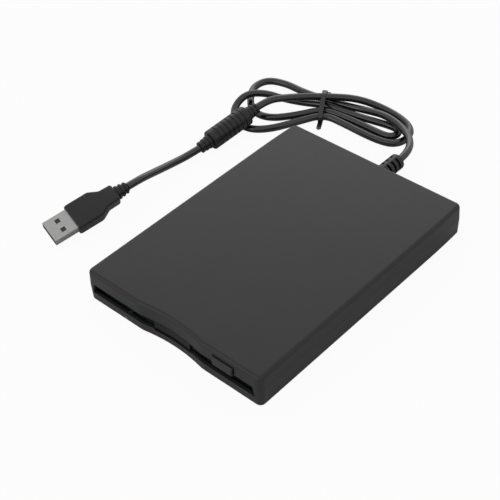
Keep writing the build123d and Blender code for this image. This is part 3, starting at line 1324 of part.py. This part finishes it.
def plug_contacts():
    """Four gold-plated strips on the tongue."""
    low = -(PLUG_SHELL_H - 2 * PLUG_SHELL_T) / 2 + 1.8
    strips = []
    for x, start in ((-3.5, 1.4), (-1.0, 2.2), (1.0, 2.2), (3.5, 1.4)):
        strip = box(x - 0.5, x + 0.5, low, low + 0.15, start, PLUG_SHELL_OUT - 0.2)
        strips.append(plug_plane().location * strip)
    return strips


def cable_to_ferrite():
    start = (RELIEF_X, REAR_Y + RELIEF_L, RELIEF_Z)
    end = along(ferrite_plane(), FERRITE_L + FERRITE_RELIEF_L)
    return cable([start] + ROUTE_CASE_TO_FERRITE + [end], "cable_to_ferrite")


def cable_to_plug():
    start = along(ferrite_plane(), -FERRITE_RELIEF_L)
    end = along(plug_plane(), PLUG_SHELL_OUT + PLUG_BODY_L + PLUG_STEP_L + PLUG_NECK_L)
    return cable([start] + ROUTE_FERRITE_TO_PLUG + [end], "cable_to_plug")


# ================================================================ write the pieces
PIECES = {
    "top_cover": top_cover,
    "bottom_cover": bottom_cover,
    "rubber_feet": rubber_feet,
    "case_screws": case_screws,
    "led_lens": led_lens,
    "dust_door": dust_door,
    "door_spring": door_spring,
    "eject_button": eject_button,
    "eject_slider": eject_slider,
    "slider_spring": slider_spring,
    "disk_holder": disk_holder,
    "shutter_lever": shutter_lever,
    "lever_spring": lever_spring,
    "chassis": chassis,
    "chassis_screws": chassis_screws,
    "spindle_rotor": spindle_rotor,
    "spindle_bearing": spindle_bearing,
    "motor_board": motor_board,
    "stator_coils": stator_coils,
    "head_carriage": head_carriage,
    "arm_hinge_pin": arm_hinge_pin,
    "lower_head": lower_head,
    "upper_arm": upper_arm,
    "upper_head": upper_head,
    "arm_spring": arm_spring,
    "lead_screw": lead_screw,
    "screw_bushing": screw_bushing,
    "rod_clamps": rod_clamps,
    "guide_rod": guide_rod,
    "stepper_motor": stepper_motor,
    "track_sensor": track_sensor,
    "head_flex": head_flex,
    "flex_connector": flex_connector,
    "main_board": main_board,
    "controller_chips": controller_chips,
    "switch_bodies": switch_bodies,
    "led": led,
    "usb_board": usb_board,
    "bridge_chips": bridge_chips,
    "cable_header": cable_header,
    "inner_wires": inner_wires,
    "board_link": board_link,
    "strain_relief": strain_relief,
    "cable_to_ferrite": cable_to_ferrite,
    "ferrite_overmold": ferrite_overmold,
    "ferrite_core": ferrite_core,
    "cable_to_plug": cable_to_plug,
    "cable_tie": cable_tie,
    "plug_overmold": plug_overmold,
    "plug_shell": plug_shell,
    "plug_tongue": plug_tongue,
    "plug_contacts": plug_contacts,
}

os.makedirs("parts", exist_ok=True)
for name, make in PIECES.items():
    made = make()
    if isinstance(made, list):
        made = Compound(children=made)
    export_step(made, f"parts/{name}.step")
for name, x in SWITCH_XS.items():
    export_step(switch_plunger(x), f"parts/{name}_plunger.step")
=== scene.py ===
import json
import math

import bpy
from mathutils import Matrix, Vector

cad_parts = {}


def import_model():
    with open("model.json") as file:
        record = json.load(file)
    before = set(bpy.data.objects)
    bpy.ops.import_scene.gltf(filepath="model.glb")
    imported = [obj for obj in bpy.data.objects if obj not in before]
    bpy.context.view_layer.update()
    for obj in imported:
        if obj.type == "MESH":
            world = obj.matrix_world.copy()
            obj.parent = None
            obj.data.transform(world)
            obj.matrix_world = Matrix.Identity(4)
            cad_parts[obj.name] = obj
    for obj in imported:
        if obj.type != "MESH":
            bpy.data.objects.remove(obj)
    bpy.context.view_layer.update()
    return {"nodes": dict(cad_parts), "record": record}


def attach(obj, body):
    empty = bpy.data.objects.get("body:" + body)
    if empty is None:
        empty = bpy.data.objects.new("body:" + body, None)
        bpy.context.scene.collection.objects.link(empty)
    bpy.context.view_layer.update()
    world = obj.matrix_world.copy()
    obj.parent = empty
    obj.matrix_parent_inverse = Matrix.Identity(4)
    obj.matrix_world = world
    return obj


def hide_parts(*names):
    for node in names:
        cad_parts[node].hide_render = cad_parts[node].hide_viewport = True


# Looks of an external floppy disk drive with its USB lead. Metres, in the CAD frame.
# The points of the lead and the plug are millimetres, as in the CAD, and MM scales them.

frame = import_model()
MM = 0.001

# ---------------------------------------------------------------- camera of the product shot
CAMERA_AZIMUTH = 44.222
CAMERA_ELEVATION = 41.754
CAMERA_ROLL = -3.357
CAMERA_DISTANCE = 557.44 * MM
CAMERA_TARGET = Vector((-16.72, -1.58, 0.6)) * MM
LENS_MM = 87.04
SENSOR_MM = 36.0
CLIP_START = 0.01

# ---------------------------------------------------------------- light and floor
WORLD_LEVEL = 0.5
KEY_PLACE = (-0.62, 0.76, 0.54)
KEY_SIZE = (0.9, 0.4)
KEY_WATTS = 1.7
FILL_PLACE = (-0.2, -1.1, 0.5)
FILL_SIZE = (0.9, 0.6)
FILL_WATTS = 2.5
FLOOR_HALF = 3.0
FLOOR_LOW = (0.955, 0.955, 0.955)
FLOOR_HIGH = (0.965, 0.965, 0.965)
FLOOR_WHITE = 0.94  # share of plain white in the floor that the camera sees

# ---------------------------------------------------------------- surfaces
CLOUD_SCALE = 28.0  # faint cloudiness of a moulding, about 36 mm across
CLOUD_EDGES = (0.32, 0.68)
BLEND_EDGES = (0.3, 0.7)
MICRO_DEPTH = 0.00001  # relief of a drawn, woven or polished surface
MASK_DARK = (0.010, 0.085, 0.038, 1)
MASK_LIGHT = (0.012, 0.10, 0.045, 1)
TRACE_GREEN = (0.03, 0.16, 0.07, 1)
TRACE_SCALE = 420.0
TRACE_WIDTH = 0.03
WEAVE_SCALE = 2600.0
FILM_DARK = (0.35, 0.12, 0.015)
FILM_LIGHT = (0.62, 0.28, 0.05)
FILM_LINES = 260.0
LENS_CLOUD_SCALE = 900.0
LENS_TRANSMISSION = 0.35
LENS_IOR = 1.49

# ---------------------------------------------------------------- lead
CABLE_D = 3.8 * MM
CURVE_STEPS = 12
CABLE_ROUNDNESS = 6
CASE_EXIT = (1.5, 86.5, 8.0)
FERRITE_REAR_EXIT = (-79.77, 74.33, 10.84)
FERRITE_FRONT_EXIT = (-85.18, 36.77, 4.31)
PLUG_EXIT = (-83.82, -14.24, 11.89)
ROUTE_CASE_TO_FERRITE = [
    (1.5, 95.0, 8.0),
    (-4.5, 105.5, 7.2),
    (-15.0, 112.0, 6.6),
    (-27.5, 115.2, 6.4),
    (-40.0, 116.0, 3.4),
    (-53.0, 113.5, 2.4),
    (-65.6, 110.6, 2.7),
    (-79.0, 109.8, 2.0),
    (-91.0, 110.3, 1.9),
    (-101.3, 106.6, 1.9),
    (-103.0, 96.8, 1.9),
    (-96.5, 87.2, 1.9),
    (-88.0, 79.4, 1.9),
    (-77.0, 80.3, 1.9),
    (-67.6, 91.3, 1.9),
    (-59.5, 103.2, 2.7),
    (-46.0, 105.4, 2.2),
    (-33.5, 106.0, 1.9),
    (-26.0, 105.7, 1.9),
    (-18.6, 106.2, 1.9),
    (-16.0, 110.3, 1.9),
    (-18.4, 114.5, 1.9),
    (-26.0, 114.0, 1.9),
    (-34.0, 112.1, 1.9),
    (-47.0, 109.6, 2.0),
    (-61.3, 107.1, 2.7),
    (-71.5, 102.3, 2.2),
    (-81.5, 97.2, 3.2),
    (-89.8, 91.6, 6.5),
    (-97.0, 84.6, 6.6),
    (-97.2, 75.0, 2.8),
    (-89.5, 67.6, 1.9),
    (-78.5, 66.6, 1.9),
    (-70.2, 74.0, 1.9),
    (-64.0, 86.5, 1.9),
    (-56.3, 100.1, 2.7),
    (-43.0, 100.9, 2.0),
    (-30.0, 100.4, 1.9),
    (-19.5, 100.8, 1.9),
    (-12.5, 103.3, 1.9),
    (-10.2, 110.5, 1.9),
    (-13.2, 118.3, 1.9),
    (-22.0, 122.8, 2.0),
    (-36.0, 124.0, 2.6),
    (-48.0, 117.6, 6.8),
    (-60.8, 108.7, 7.2),
    (-69.6, 101.8, 7.3),
    (-74.6, 92.3, 9.6),
    (-78.6, 81.9, 12.2),
]
ROUTE_FERRITE_TO_PLUG = [
    (-86.3, 29.0, 3.6),
    (-86.4, 17.5, 5.2),
    (-85.0, 3.5, 8.8),
    (-83.4, -6.7, 11.9),
]

# ---------------------------------------------------------------- plug
PLUG_TIP = Vector((-94.2, -55.9, 4.3))
PLUG_AXIS = Vector((0.238, 0.955, 0.174)).normalized()
PLUG_WIDTH_AXIS = Vector((0.92, -0.165, -0.355))
CORNER_STEPS = 6
NECK_SIDES = 32
SHARP_EDGE = math.radians(35)
# grip, as (distance from the tip, half width, half height, corner radius)
GRIP_SECTIONS = [
    (12.6, 6.7, 3.1, 0.9),
    (13.0, 7.1, 3.5, 1.2),
    (14.2, 7.3, 3.6, 1.3),
    (25.2, 7.3, 3.6, 1.3),
    (26.0, 7.1, 3.55, 1.3),
    (30.2, 4.9, 3.4, 1.3),
    (31.0, 4.7, 3.3, 1.2),
    (36.4, 4.6, 3.2, 1.2),
    (37.1, 4.1, 2.8, 1.2),
]
# ringed neck, as (distance from the tip, radius)
NECK_PROFILE = [
    (36.9, 3.0), (37.6, 3.0), (37.8, 3.5), (38.8, 3.5), (39.0, 2.9), (39.8, 2.9), (40.0, 3.3),
    (40.9, 3.3), (41.1, 2.7), (42.0, 2.6), (42.2, 3.0), (43.0, 3.0), (43.2, 2.5), (43.6, 2.4),
]


# ================================================================ node helpers
class Nodes:
    """Short spelling for a material's node tree."""

    def __init__(self, name):
        self.material = bpy.data.materials.new(name)
        self.material.use_nodes = True
        self.tree = self.material.node_tree
        self.shader = self.tree.nodes["Principled BSDF"]

    def add(self, kind, **inputs):
        node = self.tree.nodes.new(kind)
        for key, value in inputs.items():
            node.inputs[key.replace("_", " ")].default_value = value
        return node

    def link(self, a, out, b, into):
        self.tree.links.new(a.outputs[out], b.inputs[into])

    def place(self):
        """Object coordinates: the same metres as the CAD frame."""
        return self.add("ShaderNodeTexCoord")

    def noise(self, place, scale, detail=3.0, rough=0.55, squash=None):
        """A noise field with features about 1/scale metres across."""
        source, out = place, "Object"
        if squash:
            mapping = self.add("ShaderNodeMapping", Scale=squash)
            self.link(place, "Object", mapping, "Vector")
            source, out = mapping, "Vector"
        noise = self.add("ShaderNodeTexNoise", Scale=scale, Detail=detail, Roughness=rough)
        self.link(source, out, noise, "Vector")
        return noise

    def ramp(self, source, out, stops):
        """Blends between colours, given as (position, colour)."""
        node = self.tree.nodes.new("ShaderNodeValToRGB")
        elements = node.color_ramp.elements
        while len(elements) < len(stops):
            elements.new(0.5)
        for element, (at, colour) in zip(elements, stops):
            element.position = at
            element.color = (*colour, 1.0)
        self.link(source, out, node, "Fac")
        return node

    def spread(self, source, out, low, high):
        """Maps 0..1 to low..high."""
        node = self.add("ShaderNodeMapRange", To_Min=low, To_Max=high)
        self.link(source, out, node, "Value")
        return node

    def bump(self, source, out, depth, strength, after=None):
        """Relief of the given depth in metres, on top of an earlier bump if there is one."""
        node = self.add("ShaderNodeBump", Strength=strength, Distance=depth)
        self.link(source, out, node, "Height")
        if after:
            self.link(after, "Normal", node, "Normal")
        return node


def grey(value):
    """Linear colour of an sRGB grey from 0 to 255."""
    share = value / 255
    linear = share / 12.92 if share <= 0.04045 else ((share + 0.055) / 1.055) ** 2.4
    return (linear, linear, linear)


def tint(value, blue):
    """A grey with its blue share changed."""
    r, g, b = grey(value)
    return (r, g, b * blue)


# ================================================================ objects
def add_object(name, data):
    """A new object in the scene's own collection."""
    made = bpy.data.objects.new(name, data)
    bpy.context.scene.collection.objects.link(made)
    return made


# ================================================================ materials
def two_stops(edges, low, high):
    """The two stops of a ramp from one colour to another."""
    return [(edges[0], low), (edges[1], high)]


def moulded(name, value, grain=0.00035, depth=0.00003, rough=0.5, gloss=0.4, vary=0.06, blue=1.02):
    """Spark-eroded moulding: cells of grain, a finer noise on them, faint cloudiness."""
    n = Nodes(name)
    place = n.place()
    cloud = n.noise(place, CLOUD_SCALE, 4.0)
    low = [c * (1 - vary) for c in tint(value, blue)]
    high = [c * (1 + vary) for c in tint(value, blue)]
    colour = n.ramp(cloud, "Fac", two_stops(CLOUD_EDGES, low, high))
    n.link(colour, "Color", n.shader, "Base Color")
    fine = n.noise(place, 0.6 / grain, 2.0, 0.6)
    roughness = n.spread(fine, "Fac", rough - 0.06, rough + 0.08)
    n.link(roughness, "Result", n.shader, "Roughness")
    cells = n.add("ShaderNodeTexVoronoi", Scale=1.0 / grain)
    n.link(place, "Object", cells, "Vector")
    first = n.bump(cells, "Distance", depth, 0.6)
    second = n.bump(fine, "Fac", depth, 0.5, after=first)
    n.link(second, "Normal", n.shader, "Normal")
    n.shader.inputs["Specular IOR Level"].default_value = gloss
    return n.material


def metal(name, colour, rough=0.3, squash=(1, 1, 1), scale=900.0, vary=0.06):
    """Metal with a directional or even micro-texture."""
    n = Nodes(name)
    place = n.place()
    lines = n.noise(place, scale, 3.0, 0.6, squash)
    low = [c * (1 - vary) for c in colour]
    high = [min(1, c * (1 + vary)) for c in colour]
    n.link(n.ramp(lines, "Fac", two_stops(BLEND_EDGES, low, high)), "Color", n.shader, "Base Color")
    n.link(n.spread(lines, "Fac", rough - 0.07, rough + 0.1), "Result", n.shader, "Roughness")
    n.link(n.bump(lines, "Fac", MICRO_DEPTH, 0.35), "Normal", n.shader, "Normal")
    n.shader.inputs["Metallic"].default_value = 1.0
    return n.material


def board(name):
    """Green solder mask with faint traces under it."""
    n = Nodes(name)
    place = n.place()
    weave = n.noise(place, WEAVE_SCALE, 1.0)
    traces = n.add(
        "ShaderNodeTexBrick",
        Scale=TRACE_SCALE,
        Mortar_Size=TRACE_WIDTH,
        Color1=MASK_DARK,
        Color2=MASK_LIGHT,
        Mortar=TRACE_GREEN,
    )
    n.link(place, "Object", traces, "Vector")
    n.link(traces, "Color", n.shader, "Base Color")
    n.link(n.spread(weave, "Fac", 0.25, 0.4), "Result", n.shader, "Roughness")
    n.link(n.bump(weave, "Fac", MICRO_DEPTH, 0.3), "Normal", n.shader, "Normal")
    return n.material


def film(name):
    """Amber film of a flat flex, with its conductors showing as bands."""
    n = Nodes(name)
    place = n.place()
    lines = n.add("ShaderNodeTexWave", Scale=FILM_LINES)
    lines.bands_direction = "Y"
    n.link(place, "Object", lines, "Vector")
    ramp = n.ramp(lines, "Fac", [(0.35, FILM_DARK), (0.65, FILM_LIGHT)])
    n.link(ramp, "Color", n.shader, "Base Color")
    n.shader.inputs["Roughness"].default_value = 0.28
    return n.material


def clear(name, value=120, rough=0.3):
    """Frosted light pipe, unlit."""
    n = Nodes(name)
    place = n.place()
    cloud = n.noise(place, LENS_CLOUD_SCALE, 2.0)
    low, high = grey(value - 20), grey(value + 10)
    n.link(n.ramp(cloud, "Fac", two_stops(BLEND_EDGES, low, high)), "Color", n.shader, "Base Color")
    n.link(n.spread(cloud, "Fac", rough, rough + 0.15), "Result", n.shader, "Roughness")
    n.shader.inputs["Transmission Weight"].default_value = LENS_TRANSMISSION
    n.shader.inputs["IOR"].default_value = LENS_IOR
    return n.material


MATERIALS = {
    "case_plastic": moulded("case_moulding", 46, rough=0.38, gloss=0.24),
    "dark_plastic": moulded("door_moulding", 24, rough=0.5, gloss=0.2),
    "button_plastic": moulded("button_moulding", 42, grain=0.00025, rough=0.36, gloss=0.3),
    "foot_rubber": moulded("foot_rubber", 32, rough=0.8, gloss=0.2),
    "zinc_steel": metal("zinc_plated_sheet", (0.50, 0.51, 0.52), 0.34, scale=260.0, vary=0.12),
    "bright_steel": metal("ground_steel", (0.62, 0.62, 0.61), 0.18, squash=(1, 8, 1)),
    "screw_steel": metal("black_screw", (0.05, 0.05, 0.055), 0.4),
    "spring_steel": metal("spring_wire", (0.42, 0.42, 0.41), 0.3),
    "carriage_plastic": moulded("carriage_moulding", 150, rough=0.5),
    "head_ceramic": moulded("head_ceramic", 205, grain=0.0002, rough=0.2, gloss=0.5),
    "green_board": board("circuit_board"),
    "chip_resin": moulded("chip_resin", 38, grain=0.0002, rough=0.55),
    "copper_wire": metal("enamelled_copper", (0.62, 0.25, 0.10), 0.3, squash=(1, 1, 9)),
    "bronze": metal("sintered_bronze", (0.50, 0.36, 0.18), 0.45),
    "connector_plastic": moulded("connector_moulding", 215, grain=0.0003, rough=0.4),
    "polyimide_film": film("polyimide_film"),
    "wire_plastic": moulded("wire_insulation", 110, grain=0.0003, rough=0.35),
    "clear_plastic": clear("light_pipe"),
    "lead_jacket": moulded("lead_jacket", 20, 0.0005, MICRO_DEPTH, rough=0.2, gloss=0.6),
    "overmould": moulded("lead_overmould", 28, grain=0.0004, rough=0.36, gloss=0.35),
    "ferrite": moulded("ferrite_core", 60, rough=0.6),
    "tie_plastic": moulded("nylon_tie", 30, grain=0.0004, rough=0.3, gloss=0.5),
    "nickel_plate": metal("nickel_plate", (0.34, 0.34, 0.335), 0.3, scale=500.0, vary=0.05),
    "tongue_plastic": moulded("tongue_moulding", 52, grain=0.0003, rough=0.35),
    "gold_plate": metal("gold_plate", (0.85, 0.62, 0.25), 0.2),
}


def dress_nodes():
    """Gives every CAD node the material of its slot."""
    for row in frame["record"]["subparts"]:
        piece = frame["nodes"][row["node"]]
        piece.data.materials.clear()
        piece.data.materials.append(MATERIALS[row["material_slot"]])


# ================================================================ lead
def metres(points):
    """Points in millimetres, as metres."""
    return [tuple(c * MM for c in p) for p in points]


def lead(name, points):
    """A round cable on one smooth curve."""
    data = bpy.data.curves.new(name, "CURVE")
    data.dimensions = "3D"
    spline = data.splines.new("NURBS")
    spline.points.add(len(points) - 1)
    for control, point in zip(spline.points, metres(points)):
        control.co = (*point, 1.0)
    spline.order_u = 3
    spline.use_endpoint_u = True
    spline.resolution_u = CURVE_STEPS
    data.bevel_depth = CABLE_D / 2
    data.bevel_resolution = CABLE_ROUNDNESS
    data.use_fill_caps = True
    cable = add_object(name, data)
    data.materials.append(MATERIALS["lead_jacket"])
    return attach(cable, "case")


def leads():
    """The lead from the case to the ferrite, through the hank, and on to the plug."""
    rear = lead("lead_case_to_ferrite", [CASE_EXIT] + ROUTE_CASE_TO_FERRITE + [FERRITE_REAR_EXIT])
    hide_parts("cable_to_ferrite")
    front = lead("lead_ferrite_to_plug", [FERRITE_FRONT_EXIT] + ROUTE_FERRITE_TO_PLUG + [PLUG_EXIT])
    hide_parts("cable_to_plug")


# ================================================================ plug grip
def rounded_ring(half_w, half_h, radius):
    """Points round a rounded rectangle, the same number for every section."""
    ring = []
    for corner, (sx, sy) in enumerate([(1, 1), (-1, 1), (-1, -1), (1, -1)]):
        for i in range(CORNER_STEPS + 1):
            turn = math.radians(90 * corner + 90 * i / CORNER_STEPS)
            ring.append((
                sx * (half_w - radius) + radius * math.cos(turn),
                sy * (half_h - radius) + radius * math.sin(turn),
            ))
    return ring


def round_ring(radius):
    """Points round a circle."""
    turns = [math.tau * i / NECK_SIDES for i in range(NECK_SIDES)]
    return [(math.cos(turn) * radius, math.sin(turn) * radius) for turn in turns]


def loft(rings, places):
    """Closed skin through rings of points, each at its distance from the plug's tip."""
    across = (PLUG_WIDTH_AXIS - PLUG_AXIS * PLUG_WIDTH_AXIS.dot(PLUG_AXIS)).normalized()
    upright = PLUG_AXIS.cross(across)
    points = []
    for ring, place in zip(rings, places):
        for x, y in ring:
            points.append((PLUG_TIP + PLUG_AXIS * place + across * x + upright * y) * MM)
    count = len(rings[0])
    faces = [tuple(reversed(range(count)))]
    for k in range(len(rings) - 1):
        for i in range(count):
            j = (i + 1) % count
            faces.append((k * count + i, k * count + j, (k + 1) * count + j, (k + 1) * count + i))
    faces.append(tuple(range((len(rings) - 1) * count, len(rings) * count)))
    return points, faces


def plug_grip():
    """The moulded grip with its tapered shoulder, and the ringed neck."""
    grip = loft(
        [rounded_ring(*section[1:]) for section in GRIP_SECTIONS],
        [section[0] for section in GRIP_SECTIONS],
    )
    neck = loft(
        [round_ring(radius) for _, radius in NECK_PROFILE],
        [place for place, _ in NECK_PROFILE],
    )
    points = grip[0] + neck[0]
    faces = grip[1] + [tuple(i + len(grip[0]) for i in face) for face in neck[1]]
    mesh = bpy.data.meshes.new("plug_grip")
    mesh.from_pydata([tuple(p) for p in points], [], faces)
    mesh.materials.append(MATERIALS["overmould"])
    mesh.validate()
    mesh.shade_smooth()
    mesh.set_sharp_from_angle(angle=SHARP_EDGE)
    piece = add_object("plug_grip", mesh)
    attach(piece, "case")
    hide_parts("plug_overmold")


# ================================================================ studio
def camera():
    """The product shot's camera, looking at its target from an azimuth and an elevation."""
    azimuth = math.radians(CAMERA_AZIMUTH)
    elevation = math.radians(CAMERA_ELEVATION)
    roll = math.radians(CAMERA_ROLL)
    back = Vector((
        math.sin(azimuth) * math.cos(elevation),
        -math.cos(azimuth) * math.cos(elevation),
        math.sin(elevation),
    ))
    right = (-back).cross(Vector((0, 0, 1))).normalized()
    up = right.cross(-back)
    across = right * math.cos(roll) + up * math.sin(roll)
    upright = up * math.cos(roll) - right * math.sin(roll)
    data = bpy.data.cameras.new("camera")
    data.lens = LENS_MM
    data.sensor_width = SENSOR_MM
    data.clip_start = CLIP_START
    made = add_object("camera", data)
    facing = Matrix((across, upright, back)).transposed()
    made.matrix_world = Matrix.Translation(CAMERA_TARGET + back * CAMERA_DISTANCE) @ facing.to_4x4()
    bpy.context.scene.camera = made


def area_light(name, place, size, watts):
    """A soft box aimed at the middle of the object's foot."""
    data = bpy.data.lights.new(name, "AREA")
    data.shape = "RECTANGLE"
    data.size, data.size_y = size
    data.energy = watts
    light = add_object(name, data)
    light.location = place
    light.rotation_euler = (-Vector(place)).to_track_quat("-Z", "Y").to_euler()


def floor():
    """White sheet under the object, which takes its shadow."""
    mesh = bpy.data.meshes.new("studio_floor")
    corners = [(x * FLOOR_HALF, y * FLOOR_HALF, 0) for x, y in [(-1, -1), (1, -1), (1, 1), (-1, 1)]]
    mesh.from_pydata(corners, [], [(0, 1, 2, 3)])
    plane = add_object("studio_floor", mesh)
    n = Nodes("studio_floor")
    place = n.place()
    cloud = n.noise(place, 3.0)
    colour = n.ramp(cloud, "Fac", two_stops(BLEND_EDGES, FLOOR_LOW, FLOOR_HIGH))
    n.link(colour, "Color", n.shader, "Base Color")
    n.shader.inputs["Roughness"].default_value = 0.9
    n.shader.inputs["Specular IOR Level"].default_value = 0.0
    # seen by the camera the sheet is mostly plain white, and a share of it takes the shadow
    rays = n.tree.nodes.new("ShaderNodeLightPath")
    share = n.tree.nodes.new("ShaderNodeMath")
    share.operation = "MULTIPLY"
    share.inputs[1].default_value = FLOOR_WHITE
    n.link(rays, "Is Camera Ray", share, 0)
    glow = n.add("ShaderNodeEmission", Strength=1.0, Color=(1, 1, 1, 1))
    mix = n.tree.nodes.new("ShaderNodeMixShader")
    n.link(share, 0, mix, 0)
    n.link(n.shader, 0, mix, 1)
    n.link(glow, 0, mix, 2)
    n.link(mix, 0, n.tree.nodes["Material Output"], 0)
    mesh.materials.append(n.material)


def world():
    """Full white to the camera, reflections and clear parts, and WORLD_LEVEL as light."""
    made = bpy.data.worlds.new("studio")
    bpy.context.scene.world = made
    made.use_nodes = True
    tree = made.node_tree
    background = tree.nodes["Background"]
    rays = tree.nodes.new("ShaderNodeLightPath")
    seen = rays.outputs["Is Camera Ray"]
    for other in ("Is Glossy Ray", "Is Transmission Ray"):
        either = tree.nodes.new("ShaderNodeMath")
        either.operation = "MAXIMUM"
        tree.links.new(seen, either.inputs[0])
        tree.links.new(rays.outputs[other], either.inputs[1])
        seen = either.outputs[0]
    level = tree.nodes.new("ShaderNodeMapRange")
    level.inputs["To Min"].default_value = WORLD_LEVEL
    level.inputs["To Max"].default_value = 1.0
    tree.links.new(seen, level.inputs["Value"])
    tree.links.new(level.outputs["Result"], background.inputs["Strength"])
    background.inputs["Color"].default_value = (1, 1, 1, 1)


def studio():
    """Camera, lights, floor and background."""
    bpy.context.scene.view_settings.view_transform = "Standard"
    camera()
    world()
    floor()
    area_light("key", KEY_PLACE, KEY_SIZE, KEY_WATTS)
    area_light("fill", FILL_PLACE, FILL_SIZE, FILL_WATTS)


studio()
dress_nodes()
plug_grip()
leads()
